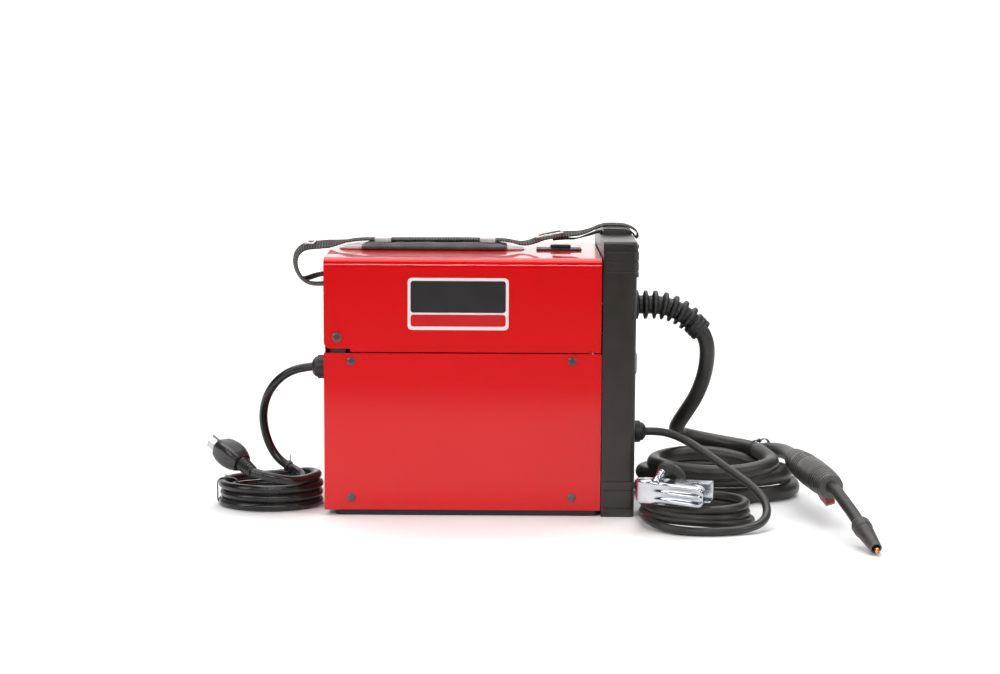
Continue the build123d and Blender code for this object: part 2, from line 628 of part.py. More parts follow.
def clamp_arm(side, half_height, pin_radius):
    """Pressed-steel arm: jaw on one side of the pivot, spread grip on the other."""
    wall = 1.7

    def outline(inset, reach):
        """Plan of the arm, from the middle plane out to its back."""
        back = [(-JAW_L, 5.5), (-JAW_L + 5, 11.5), (0, 12.5), (GRIP_L, 21)]
        back = [(x, side * (y - inset)) for x, y in back]
        front = [(GRIP_L, side * (21 - 11)), (7, side * -reach), (-7, side * -reach),
                 (-JAW_L, side * 0.4)]
        return make_face(Polyline(*(back + front), close=True))

    arm = Pos(0, 0, -half_height) * extrude(outline(0, 5.5), 2 * half_height)
    room = half_height - wall
    hollow = Pos(0, 0, -room) * extrude(outline(wall, 60), 2 * room)
    arm -= hollow
    arm -= Pos(GRIP_L / 2 + 4, -side * 22, 0) * Box(GRIP_L + 20, 30, 2 * room)
    arm -= Pos(-JAW_L / 2, -side * 12, 0) * Box(JAW_L + 20, 24.4, 2 * room)
    return arm - Cylinder(pin_radius, 60)


def clamp_near_arm():
    """Fixed arm, with the lug that the work lead ends in."""
    arm = CLAMP * clamp_arm(-1, 12.5, 2.5)
    top = CLAMP_PIVOT.Z + 12.5
    lug = rod(*CLAMP_LUG, 3.6) & block(150, 220, -200, -140, top, 80)
    return arm + lug


def clamp_far_arm():
    """Moving arm, nested inside the fixed one."""
    return CLAMP * clamp_arm(1, 10.5, 2.5 + FIT)


def clamp_pivot():
    """Rivet through both arms, with the spring's coil round it, as two solids."""
    rivet = Cylinder(2.5, 25) + Pos(0, 0, 13) * Cylinder(4.5, 1) + Pos(0, 0, -13) * Cylinder(4.5, 1)
    spring = Cylinder(5.4, 15) - Cylinder(3.2, 20)
    return CLAMP * Compound([rivet, spring])


def clamp_boot():
    """Rubber boot over the lead's end."""
    start, end = Vector(196.5, -150, 62.8), Vector(186.5, -172, 64.6)
    place = Plane(origin=start, z_dir=end - start)
    long = (end - start).length
    profile = [(0, 0), (0, 5.4), (6, 7.0), (13, 7.6), (long - 3, 7.4), (long, 5), (long, 0)]
    boot = turned(profile, place)
    return boot - rod(*CLAMP_LUG, 3.6)


# ---- mains lead -----------------------------------------------------------------------
MAINS_LEAD = [(-184, -45, 151), (-196.5, -44.8, 149.7), (-211.5, -43, 144), (-224.5, -39, 133.5),
              (-234, -33, 119.5), (-239.5, -26, 104), (-241.2, -20, 87.5), (-239, -15.5, 70.5),
              (-233.2, -14, 54.5), (-224.5, -16.5, 42), (-212.5, -24, 34.5), (-200, -34, 31)]
MAINS_TAIL = [(-190, -75, 20), (-197.5, -90, 22.5), (-208, -102.5, 27), (-220, -108.8, 33),
              (-232.5, -105, 39), (-244, -95, 44.4)]


def mains_gland():
    """Gland where the mains lead leaves the rear."""
    wall = CASE_REAR + SHEET
    place = Plane(origin=(wall, GLAND_Y, GLAND_Z), z_dir=(-1, 0, 0))
    body = gland(place, 13, 11.5, 12.2, 6, 8, 3)
    return body + pipe((wall + 1.2, GLAND_Y, GLAND_Z), (wall + 6, GLAND_Y, GLAND_Z), 13, 8.9)


def mains_cord_coil():
    """Outer shape of the mains lead's bundle."""
    return oval_ring((-230, -48), (58, 46), (33, 21), 0, 38)


PLUG_REAR, PLUG_TIP = Vector(-244, -95, 44.4), Vector(-293, -45, 69.4)
PLUG_AXIS = (PLUG_TIP - PLUG_REAR).normalized()
PLUG = Plane(origin=PLUG_REAR, x_dir=(0, 0, 1), z_dir=PLUG_AXIS)
RELIEF_L, PLUG_BODY_L = 20.0, 36.0


def mains_plug():
    """Moulded plug body and its ribbed strain relief."""
    relief = turned([(0, 0), (0, 5.2), (RELIEF_L, 7.6), (RELIEF_L, 0)])
    for ring in range(4):
        at = 3 + ring * 4.2
        outer = 5.9 + 0.45 * ring
        relief += turned([(at, 0), (at, outer), (at + 2.2, outer), (at + 2.2, 0)])
    sections = Sketch() + [Pos(0, 0, RELIEF_L) * RectangleRounded(17, 20, 5),
                           Pos(0, 0, RELIEF_L + 14) * RectangleRounded(24, 27, 6),
                           Pos(0, 0, RELIEF_L + PLUG_BODY_L) * RectangleRounded(22, 26, 8)]
    return PLUG * (relief + loft(sections))


def plug_blades():
    """Two flat blades and the earth pin, as three solids."""
    face = RELIEF_L + PLUG_BODY_L
    blades = [Pos(-2.5, y, face + 9) * Box(6.4, 1.5, 18) for y in (-6.35, 6.35)]
    earth = Pos(8.2 - 2.5, 0, face + 9) * Cylinder(2.4, 18)
    return PLUG * Compound(blades + [earth])


# ---- lid ------------------------------------------------------------------------------
LID_FRONT = 125.2
LID_LOW, LID_LOW_REAR = 175.9, 179.2
LID_STEP_X = -139.0
BEND_R = 9.5
LATCH_X0, LATCH_X1 = 58.0, 107.0


def lid():
    """Folded cover: top, two sides and rear wall, hinged at the rear on its pivot screws."""
    shell = block(CASE_REAR, LID_FRONT, -HALF_W, HALF_W, LID_LOW, LID_TOP)
    shell = fillet(shell.edges().filter_by(Axis.X).group_by(Axis.Z)[-1], BEND_R)
    room = block(CASE_REAR + 1.5, LID_FRONT + 5, -INSIDE, INSIDE, LID_LOW - 9, LID_TOP - 1.5)
    room = fillet(room.edges().filter_by(Axis.X).group_by(Axis.Z)[-1], BEND_R - SHEET)
    shell -= room
    shell -= block(CASE_REAR - 1, CASE_REAR + 1.6, -INSIDE, INSIDE, LID_LOW - 5, 205)
    corner = 7.0
    shell -= block(CASE_REAR - 1, LID_STEP_X, -110, 110, LID_LOW - 1, LID_LOW_REAR)
    rounding = block(CASE_REAR - 1, CASE_REAR + corner, -110, 110, LID_LOW_REAR - 1,
                     LID_LOW_REAR + corner)
    middle = (CASE_REAR + corner, LID_LOW_REAR + corner)
    shell -= rounding - rod((middle[0], -111, middle[1]), (middle[0], 111, middle[1]), corner)
    shell -= rod((HINGE_X, -111, HINGE_Z), (HINGE_X, 111, HINGE_Z), 3 + FIT)
    return shell - block(72.5, 90.5, 3.4, 9.6, LID_TOP - 3, LID_TOP + 1)


def latch_plate():
    """Guide plate of the lid latch."""
    plate = block(LATCH_X0, LATCH_X1, -14, 14, LID_TOP, LID_TOP + 2)
    plate = fillet(plate.edges().filter_by(Axis.Z), 2.5)
    return plate - block(72.5, 90.5, 3.4, 9.6, LID_TOP - 3, LID_TOP + 5)


def latch_slider():
    """Thumb piece, stem and tongue of the lid latch."""
    slider = block(73.6, 95.6, 1, 12.5, LID_TOP + 2.3, LID_TOP + 5)
    slider += block(78, 90, 4, 9, LID_TOP - 4.5, LID_TOP + 2.4)
    return slider + block(78, 124.8, 2, 11, LID_TOP - 5, LID_TOP - 2.2)


# ---- strap ----------------------------------------------------------------------------
STRAP_Y0, STRAP_Y1, STRAP_T = -2.5, 22.5, 1.6
STRAP_MAIN = [(-168.6, 236.5), (-184, 234.3), (-197, 237.5), (-205, 247), (-208, 259),
              (-205.5, 270), (-196, 277), (-181, 278.2), (-166, 279.8), (-150, 283), (-134, 285.2),
              (-108, 285), (-80, 285.4), (-52, 285.2), (-24, 285.5), (4, 285.2), (28, 284.6),
              (42, 280.5), (54, 283), (66, 288.5), (80, 291), (94, 292), (106, 292.6), (116, 295.8),
              (126.2, 300.4)]
STRAP_RETURN = [(76, 285.6), (88, 287), (101, 286.2), (114, 290.5), (126.2, 294.9)]
STRAP_ANCHOR = [(-168.6, 247.5), (-182, 246), (-193, 241.5), (-199.5, 240.5)]
STRAP_FRONT = [(127.2, 300.9), (134, 302.7), (151, 302.6), (158.5, 301.2), (165.5, 297.8), (169.3, 293.8),
               (169.4, 289.4), (166.9, 287.7), (165.6, 290.9), (162.8, 294.9), (155, 295.2),
               (140, 295), (127.2, 295.1)]


def strap_webbing():
    """Shoulder strap on the lid: rear loop, run over the pad and the doubled front end."""
    strap = ribbon(STRAP_MAIN, STRAP_Y0, STRAP_Y1, STRAP_T)
    strap += ribbon(STRAP_ANCHOR, STRAP_Y0, STRAP_Y1, STRAP_T)
    return Compound([strap, ribbon(STRAP_RETURN, STRAP_Y0, STRAP_Y1, STRAP_T)])


def strap_front_loop():
    """End of the strap over the bridge, round its front and back through the slot."""
    return ribbon(STRAP_FRONT, STRAP_Y0, STRAP_Y1, STRAP_T)


def strap_pad():
    """Shoulder pad under the strap."""
    pad = block(-134, 26, -16, 36, LID_TOP + GAP, 283.3)
    return fillet(pad.edges().filter_by(Axis.Z), 8)


def strap_buckles():
    """Anchor plate on the lid's rear wall and the two strap adjusters, as separate solids."""
    anchor = block(-168.6, CASE_REAR, -8, 28, 228, 254)
    anchor = fillet(anchor.edges().filter_by(Axis.X), 3)
    rails = []
    for x, z in ((58.5, 289.2), (86, 294.6), (-194.5, 281.4)):
        rails.append(rod((x, -5.5, z), (x, 25.5, z), 1.5))
    return Compound([anchor] + rails)


# ---- writing --------------------------------------------------------------------------
def make_parts():
    """Every sub-part by its node's name."""
    cases = {
        "base_tray": base_tray(), "front_bezel": front_bezel(), "control_panel": control_panel(),
        "side_panel_right": side_panel(), "side_panel_left": mirror_y(side_panel()),
        "rear_panel": rear_panel(), "divider_deck": divider_deck(),
        "hinge_brackets": hinge_brackets(), "case_screws": case_screws(),
    }
    inside = {
        "transformer_core": transformer_core(), "transformer_windings": transformer_windings(),
        "rectifier_heatsink": rectifier_heatsink(), "control_board": control_board(),
        "fan_shroud": fan_shroud(), "fan_blades": fan_blades(),
        "power_switch_body": power_switch_body(), "power_rocker": power_rocker(),
        "control_pots": control_pots(), "speed_knob": knob(SPEED_Y), "voltage_knob": knob(VOLTAGE_Y),
    }
    feeder = {
        "feed_plate": feed_plate(), "feed_motor": feed_motor(), "wire_guides": wire_guides(),
        "drive_roll": drive_roll(), "idle_roll": idle_roll(), "pressure_arm": pressure_arm(),
        "tension_knob": tension_knob(), "spool_post": spool_post(), "spool_nut": spool_nut(),
        "wire_spool": wire_spool(), "welding_wire": welding_wire(),
    }
    gun = {
        "gun_bellows": gun_bellows(),
        "gun_cable": Compound([cord_tube(GUN_LEAD, GUN_CABLE_D, "gun lead"),
                               cord_tube(GUN_TAIL, GUN_CABLE_D, "gun tail")]),
        "gun_cable_coil": gun_cable_coil(),
        "gun_handle_left": gun_handle(-1), "gun_handle_right": gun_handle(1),
        "gun_trigger": gun_trigger(), "gun_neck": gun_neck(), "gun_nozzle": gun_nozzle(),
        "contact_tip": contact_tip(),
    }
    work = {
        "work_gland": work_gland(),
        "work_cable": Compound([cord_tube(WORK_LEAD, WORK_CABLE_D, "work lead"),
                                cord_tube(WORK_TAIL, WORK_CABLE_D, "work tail")]),
        "work_cable_coil": work_cable_coil(),
        "clamp_near_arm": clamp_near_arm(), "clamp_far_arm": clamp_far_arm(),
        "clamp_pivot": clamp_pivot(), "clamp_boot": clamp_boot(),
    }
    mains = {
        "mains_gland": mains_gland(),
        "mains_cord": Compound([cord_tube(MAINS_LEAD, MAINS_CORD_D, "mains lead"),
                                cord_tube(MAINS_TAIL, MAINS_CORD_D, "mains tail")]),
        "mains_cord_coil": mains_cord_coil(),
        "mains_plug": mains_plug(), "plug_blades": plug_blades(),
    }
    lids = {
        "lid": lid(), "latch_plate": latch_plate(), "latch_slider": latch_slider(),
        "strap_webbing": strap_webbing(), "strap_pad": strap_pad(),
        "strap_buckles": strap_buckles(), "strap_front_loop": strap_front_loop(),
    }
    return {**cases, **inside, **feeder, **gun, **work, **mains, **lids}


os.makedirs("parts", exist_ok=True)
for node, shape in make_parts().items():
    export_step(shape, f"parts/{node}.step")
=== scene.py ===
"""Looks of the wire-feed welding machine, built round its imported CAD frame.

Every length is in metres in the part's own frame: +Z up, +X the machine's front. Routes are written in
millimetres, as in the part's source, and turned into metres by metres()."""

import math
import random

import bpy
from mathutils import Matrix, Vector


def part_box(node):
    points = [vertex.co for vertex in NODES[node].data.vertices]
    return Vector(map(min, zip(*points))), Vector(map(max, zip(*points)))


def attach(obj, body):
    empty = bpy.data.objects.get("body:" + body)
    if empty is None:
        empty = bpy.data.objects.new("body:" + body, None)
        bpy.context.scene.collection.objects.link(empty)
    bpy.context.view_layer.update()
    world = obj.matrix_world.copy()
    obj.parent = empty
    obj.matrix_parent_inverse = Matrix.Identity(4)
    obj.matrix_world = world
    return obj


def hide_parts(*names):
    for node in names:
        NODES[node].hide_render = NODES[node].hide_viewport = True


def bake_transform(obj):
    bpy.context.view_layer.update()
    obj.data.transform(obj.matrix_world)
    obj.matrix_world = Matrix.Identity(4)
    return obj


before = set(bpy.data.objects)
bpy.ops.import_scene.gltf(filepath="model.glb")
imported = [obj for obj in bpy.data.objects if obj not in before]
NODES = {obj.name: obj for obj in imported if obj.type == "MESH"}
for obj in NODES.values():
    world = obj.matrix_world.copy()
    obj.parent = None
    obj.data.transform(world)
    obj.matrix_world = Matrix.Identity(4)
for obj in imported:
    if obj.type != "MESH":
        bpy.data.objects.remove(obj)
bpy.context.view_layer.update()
MM = 0.001

# ---- routes, in millimetres ------------------------------------------------------------
GUN_LEAD = [(239.15, -20, 188.03), (244.5, -19.7, 178.5), (246, -17, 160), (243.5, -11, 138),
            (236.5, 0, 114), (226.5, 15, 93.5), (218.5, 31, 76.5), (217.5, 45, 66.5), (225, 58, 60),
            (241, 66, 55), (262, 68.5, 50.5), (281, 66, 47.5), (297, 59, 46), (309, 48, 45)]
GUN_TAIL = [(281, 86, 27), (300, 80, 34), (316, 70, 39.5), (330, 54, 43.5), (340, 33, 45.5),
            (344.5, 11, 45.4), (346, -12, 45)]
GUN_D = 17.0

WORK_LEAD = [(176, -60, 84.5), (189, -60.3, 85), (205, -64, 82.3), (221.5, -74, 76), (239, -88, 66.5),
             (256.5, -102, 55.5), (273, -113.5, 45.5), (287, -125.5, 36.5), (295.5, -138, 27.5),
             (298, -151, 19), (294.5, -164, 12), (284.5, -176, 7.5), (268, -186, 5.2),
             (247, -192, 4.8), (224, -193.5, 4.6), (202, -188.5, 4.8), (184, -177, 6.5),
             (172.5, -161, 10)]
WORK_TAIL = [(172, -102.5, 17), (170.8, -89.8, 15.5), (171.5, -78, 15), (176.5, -70, 16.5),
             (186, -65.5, 19.5), (196, -65, 23.5), (205, -68, 27.5), (211, -75.5, 32), (214, -86, 38),
             (213, -98.5, 44), (208.5, -114, 50.5), (203, -132, 57.5), (196.5, -150, 62.8)]
WORK_D = 8.8

MAINS_LEAD = [(-184, -45, 151), (-196.5, -44.8, 149.7), (-211.5, -43, 144), (-224.5, -39, 133.5),
              (-234, -33, 119.5), (-239.5, -26, 104), (-241.2, -20, 87.5), (-239, -15.5, 70.5),
              (-233.2, -14, 54.5), (-224.5, -16.5, 43), (-212.5, -22, 36), (-201, -31, 32)]
MAINS_TAIL = [(-188, -72, 33), (-196, -86, 34), (-207, -97, 36), (-220, -102, 39.5),
              (-232.5, -101, 42.5), (-244, -95, 44.4)]
MAINS_D = 9.4
TURN_STEPS = 16

STRAP_Y0, STRAP_Y1, STRAP_T = -2.5, 22.5, 1.6
STRAP_MAIN = [(-168.6, 236.5), (-184, 234.3), (-197, 237.5), (-205, 247), (-208, 259),
              (-205.5, 270), (-196, 277), (-181, 278.2), (-166, 279.8), (-150, 283), (-134, 285.2),
              (-108, 285), (-80, 285.4), (-52, 285.2), (-24, 285.5), (4, 285.2), (28, 284.6),
              (42, 280.5), (54, 283), (66, 288.5), (80, 291), (94, 292), (106, 292.6), (116, 295.8),
              (126.2, 300.4), (134, 302.7), (151, 302.6), (158.5, 301.2), (165.5, 297.8), (169.3, 293.8),
              (169.4, 289.4), (166.9, 287.7), (165.6, 290.9), (162.8, 294.9), (155, 295.2),
              (140, 295), (127.2, 295.1), (114, 290.5), (101, 286.2), (88, 287), (76, 285.6)]
STRAP_ANCHOR = [(-168.6, 247.5), (-182, 246), (-193, 241.5), (-199.5, 240.5)]


def metres(points):
    """Points in millimetres as vectors in metres."""
    return [Vector(point) * MM for point in points]


# ---- materials -------------------------------------------------------------------------
class Paint:
    """A procedural material under construction: a Principled shader and the nodes that feed it."""

    def __init__(self, name):
        self.material = bpy.data.materials.new(name)
        self.material.use_nodes = True
        self.tree = self.material.node_tree
        self.shader = self.tree.nodes["Principled BSDF"]
        self.place = self.node("ShaderNodeTexCoord").outputs["Object"]

    def node(self, kind, **values):
        """A new node, with the named inputs set."""
        made = self.tree.nodes.new(kind)
        for key, value in values.items():
            made.inputs[key.replace("_", " ")].default_value = value
        return made

    def join(self, source, target):
        """Links an output to an input."""
        self.tree.links.new(source, target)

    def set(self, **values):
        """Sets uniform values on the shader itself."""
        for key, value in values.items():
            self.shader.inputs[key.replace("_", " ")].default_value = value

    def noise(self, scale, detail=3.0, stretch=(1, 1, 1)):
        """Noise in the part's frame, with features about 1/scale metres across."""
        mapping = self.node("ShaderNodeMapping")
        mapping.inputs["Scale"].default_value = stretch
        self.join(self.place, mapping.inputs["Vector"])
        noise = self.node("ShaderNodeTexNoise", Scale=scale, Detail=detail)
        self.join(mapping.outputs["Vector"], noise.inputs["Vector"])
        return noise.outputs["Fac"]

    def between(self, source, low, high, low_in=0.3, high_in=0.7):
        """A number that runs from low to high with source."""
        ranged = self.node("ShaderNodeMapRange")
        for name, value in (("From Min", low_in), ("From Max", high_in), ("To Min", low), ("To Max", high)):
            ranged.inputs[name].default_value = value
        self.join(source, ranged.inputs["Value"])
        return ranged.outputs["Result"]

    def tones(self, source, stops):
        """A colour taken from stops, each (position, (r, g, b)), by source."""
        ramp = self.node("ShaderNodeValToRGB")
        for element, (position, colour) in zip(ramp.color_ramp.elements, (stops[0], stops[-1])):
            element.position = position
            element.color = (*colour, 1)
        for position, colour in stops[1:-1]:
            ramp.color_ramp.elements.new(position).color = (*colour, 1)
        self.join(source, ramp.inputs["Fac"])
        return ramp.outputs["Color"]

    def colour(self, source):
        """Feeds the base colour."""
        self.join(source, self.shader.inputs["Base Color"])

    def mottled(self, dark, light, scale=25, edge=None):
        """Base colour that drifts between two tones, with worn edges in a third."""
        drift = self.tones(self.noise(scale), [(0.3, dark), (0.7, light)])
        if edge:
            bare = self.node("ShaderNodeNewGeometry").outputs["Pointiness"]
            worn = self.between(bare, 0.0, 1.0, 0.53, 0.60)
            blend = self.node("ShaderNodeMix")
            blend.data_type = "RGBA"
            self.join(worn, blend.inputs["Factor"])
            self.join(drift, blend.inputs[6])
            blend.inputs[7].default_value = (*edge, 1)
            drift = blend.outputs[2]
        self.colour(drift)

    def rough(self, low, high, scale=60):
        """Roughness that varies a little over the surface."""
        self.join(self.between(self.noise(scale), low, high), self.shader.inputs["Roughness"])

    def relief(self, heights, corner=0.0):
        """Bumps from (source, depth in metres) pairs, over corners rounded by that radius."""
        normal = None
        if corner:
            bevel = self.node("ShaderNodeBevel", Radius=corner)
            bevel.samples = 4
            normal = bevel.outputs["Normal"]
        for source, depth in heights:
            bump = self.node("ShaderNodeBump", Strength=1.0, Distance=depth)
            self.join(source, bump.inputs["Height"])
            if normal:
                self.join(normal, bump.inputs["Normal"])
            normal = bump.outputs["Normal"]
        self.join(normal, self.shader.inputs["Normal"])

    def math(self, operation, *values):
        """A Math node on numbers or sources."""
        made = self.node("ShaderNodeMath")
        made.operation = operation
        for socket, value in zip(made.inputs, values):
            if isinstance(value, (int, float)):
                socket.default_value = value
            else:
                self.join(value, socket)
        return made.outputs[0]

    def axis(self, letter):
        """One coordinate of the surface point, in metres."""
        apart = self.node("ShaderNodeSeparateXYZ")
        self.join(self.place, apart.inputs[0])
        return apart.outputs[letter]

    def stripes(self, coordinate, pitch):
        """0 to 1 and back once every pitch metres of a coordinate."""
        wave = self.math("SINE", self.math("MULTIPLY", coordinate, 2 * math.pi / pitch))
        return self.math("MULTIPLY_ADD", wave, 0.5, 0.5)


def plastic(name, dark, light, rough, grain=1400, depth=0.00002, corner=0.0006, edge=None):
    """Moulded plastic with a fine spark texture."""
    paint = Paint(name)
    paint.mottled(dark, light, 30, edge)
    paint.rough(*rough)
    paint.relief([(paint.noise(grain, 2), depth)], corner)
    return paint.material


def metal(name, dark, light, rough, stretch=(1, 1, 1), grain=900, depth=0.00001, corner=0.0004):
    """Bare metal with a drawn or cast grain."""
    paint = Paint(name)
    paint.mottled(dark, light, 60)
    paint.set(Metallic=1.0)
    streaks = paint.noise(grain, 4, stretch)
    paint.join(paint.between(streaks, *rough), paint.shader.inputs["Roughness"])
    paint.relief([(streaks, depth)], corner)
    return paint.material


def red_paint():
    """Gloss baked enamel on sheet steel: slight orange peel, a few specks, lighter at worn edges."""
    paint = Paint("red_paint")
    paint.mottled((0.52, 0.0001, 0.0010), (0.57, 0.0002, 0.0016), 9, (0.66, 0.004, 0.006))
    specks = paint.between(paint.noise(520, 1), 0.0, 1.0, 0.74, 0.80)
    paint.join(paint.between(paint.math("ADD", paint.noise(40), specks), 0.29, 0.36, 0.3, 1.4),
               paint.shader.inputs["Roughness"])
    paint.relief([(paint.noise(330, 2), 0.000012), (paint.noise(14, 1), 0.00012), (specks, 0.00003)], 0.0009)
    paint.set(Coat_Weight=0.8, Coat_Roughness=0.03, Specular_IOR_Level=0.12, Specular_Tint=(1, 0.1, 0.1, 1))
    return paint.material


def jacket(name, dark, light, rough, scuff, diameter):
    """Extruded cable jacket: drawn along its length, scuffed and dusty in places."""
    paint = Paint(name)
    dust = paint.noise(28, 5)
    paint.colour(paint.tones(dust, [(0.35, dark), (0.62, light), (0.8, scuff)]))
    paint.join(paint.between(dust, rough[0], rough[1]), paint.shader.inputs["Roughness"])
    paint.relief([(paint.noise(6 / diameter, 2), 0.00012), (paint.noise(1500, 2), 0.000015)])
    paint.set(Sheen_Weight=0.08, Sheen_Roughness=0.5)
    return paint.material


def grip_plastic():
    """Moulded gun handle: satin, with raised rings at both ends of the grip."""
    paint = Paint("gun_grip")
    paint.mottled((0.024, 0.021, 0.0185), (0.040, 0.036, 0.032), 26, (0.10, 0.095, 0.09))
    paint.rough(0.36, 0.50)
    rear, front = Vector((0.346, -0.012, 0.045)), Vector((0.364, -0.150, 0.043))
    ahead = (front - rear).normalized()
    shift = paint.node("ShaderNodeVectorMath")
    shift.operation = "DOT_PRODUCT"
    shift.inputs[1].default_value = ahead
    paint.join(paint.place, shift.inputs[0])
    along = paint.math("SUBTRACT", shift.outputs["Value"], rear.dot(ahead))
    rings = paint.stripes(along, 0.0052)
    rear_end = paint.between(along, 1.0, 0.0, 0.026, 0.027)
    front_end = paint.between(along, 0.0, 1.0, 0.104, 0.105)
    ridged = paint.math("MULTIPLY", rings, paint.math("ADD", rear_end, front_end))
    paint.relief([(ridged, 0.0011), (paint.noise(1100, 2), 0.00006)], 0.0010)
    return paint.material


def webbing_cloth():
    """Heavy woven webbing: ribs across the band under a slanting twill, laid out by the cloth's own UVs."""
    paint = Paint("webbing")
    apart = paint.node("ShaderNodeSeparateXYZ")
    paint.join(paint.node("ShaderNodeTexCoord").outputs["UV"], apart.inputs[0])
    along, across = apart.outputs["X"], apart.outputs["Y"]
    ribs = paint.stripes(along, 0.0030)
    slant = paint.stripes(paint.math("ADD", along, across), 0.0034)
    yarns = paint.stripes(across, 0.0018)
    weave = paint.math("MULTIPLY", ribs, paint.math("MAXIMUM", slant, yarns))
    tone = paint.math("MULTIPLY", paint.noise(70), 0.3)
    # Colour: a random real tone plus painted shade that darkens the grooves between the yarns nearly to
    # black.
    tone_and_groove_shade = paint.math("ADD", tone, paint.math("MULTIPLY", weave, 0.7))
    paint.colour(paint.tones(tone_and_groove_shade, [(0.20, (0.0025, 0.002, 0.0018)), (0.45, (0.020, 0.0165, 0.014)),
                                     (0.85, (0.130, 0.106, 0.088))]))
    paint.set(Roughness=0.82, Sheen_Weight=0.08, Sheen_Roughness=0.45)
    paint.relief([(weave, 0.0007), (paint.noise(2600, 2), 0.00006)])
    return paint.material


def pad_cloth():
    """Shoulder-pad cloth: a close rib with a soft nap."""
    paint = Paint("pad_fabric")
    ribs = paint.stripes(paint.axis("X"), 0.0018)
    cross = paint.stripes(paint.axis("Y"), 0.0018)
    weave = paint.math("MULTIPLY", ribs, cross)
    # Colour: a random real tone plus painted shade in the grooves between the ribs.
    paint.colour(paint.tones(paint.math("ADD", paint.math("MULTIPLY", weave, 0.5), paint.noise(60)),
                             [(0.3, (0.020, 0.019, 0.020)), (0.9, (0.085, 0.080, 0.082))]))
    paint.set(Roughness=0.85, Sheen_Weight=0.3, Sheen_Roughness=0.5)
    paint.relief([(weave, 0.0002), (paint.noise(1800, 3), 0.00006)])
    return paint.material


def stitch_thread():
    """Twisted sewing thread."""
    paint = Paint("stitch_thread")
    paint.colour(paint.tones(paint.noise(700), [(0.3, (0.05, 0.045, 0.04)), (0.7, (0.12, 0.11, 0.10))]))
    paint.set(Roughness=0.7, Sheen_Weight=0.3)
    paint.relief([(paint.stripes(paint.axis("X"), 0.0006), 0.0001)])
    return paint.material


def clear_plastic():
    """Milky clear moulding."""
    paint = Paint("clear_plastic")
    paint.colour(paint.tones(paint.noise(120), [(0.3, (0.74, 0.75, 0.74)), (0.7, (0.88, 0.89, 0.88))]))
    paint.rough(0.16, 0.26, 90)
    paint.set(Transmission_Weight=0.35, IOR=1.46)
    paint.relief([(paint.noise(300, 2), 0.00004)], 0.0003)
    return paint.material


def laminated_steel():
    """Edges of stacked and varnished laminations."""
    paint = Paint("laminated_steel")
    sheets = paint.stripes(paint.axis("Y"), 0.0014)
    paint.colour(paint.tones(sheets, [(0.1, (0.05, 0.045, 0.04)), (0.6, (0.24, 0.23, 0.22))]))
    paint.set(Metallic=0.8)
    paint.rough(0.35, 0.55)
    paint.relief([(sheets, 0.00025), (paint.noise(500), 0.00003)])
    return paint.material


def wound(name, dark, light, pitch, axis):
    """Wire wound side by side, its strands pitch metres apart along an axis."""
    paint = Paint(name)
    strands = paint.stripes(paint.axis(axis), pitch)
    # The colour darkens at the bottom of each groove between wires: painted shade over the metal's own tone.
    paint.colour(paint.tones(strands, [(0.05, dark), (0.7, light)]))
    paint.set(Metallic=1.0)
    paint.rough(0.25, 0.4)
    paint.relief([(strands, pitch * 0.4), (paint.noise(900), 0.00002)])
    return paint.material


def circuit_board():
    """Solder mask over a copper pattern, with pale component bodies and tinned joints."""
    paint = Paint("circuit_board")
    cells = paint.node("ShaderNodeTexVoronoi", Scale=130.0)
    cells.distance = "CHEBYCHEV"
    paint.join(paint.place, cells.inputs["Vector"])
    cell = cells.outputs["Distance"]
    paint.colour(paint.tones(cell, [(0.10, (0.45, 0.43, 0.36)), (0.16, (0.02, 0.11, 0.04)),
                                    (0.9, (0.03, 0.20, 0.07))]))
    paint.rough(0.25, 0.4)
    paint.relief([(cell, 0.0002)], 0.0003)
    return paint.material


def printed(name, tone, rough=0.45):
    """Printed ink or a painted mark."""
    paint = Paint(name)
    low = tuple(channel * 0.93 for channel in tone)
    paint.colour(paint.tones(paint.noise(40), [(0.3, low), (0.7, tone)]))
    paint.rough(rough - 0.04, rough + 0.04)
    paint.relief([(paint.noise(1200, 2), 0.000003)], 0.0002)
    return paint.material


def floor_material():
    """Seamless white studio floor, turning grey well in front of the object: painted shade standing in for
    the dim side of the studio nearest the camera.
    """
    paint = Paint("studio_floor")
    drift = paint.between(paint.noise(3), 0.97, 1.0)
    # Painted shade: the floor fades from white at 0.68 m to grey at 1 m in front of the object, and stays
    # grey beyond.
    ahead = paint.between(paint.axis("Y"), 0.0, 1.0, -1.0, -0.68)
    paint.colour(paint.tones(paint.math("MULTIPLY", ahead, drift),
                             [(0.0, (0.32, 0.32, 0.32)), (0.97, (0.93, 0.93, 0.93)),
                              (1.0, (0.95, 0.95, 0.95))]))
    paint.set(Roughness=0.8, Specular_IOR_Level=0.0)
    return paint.material


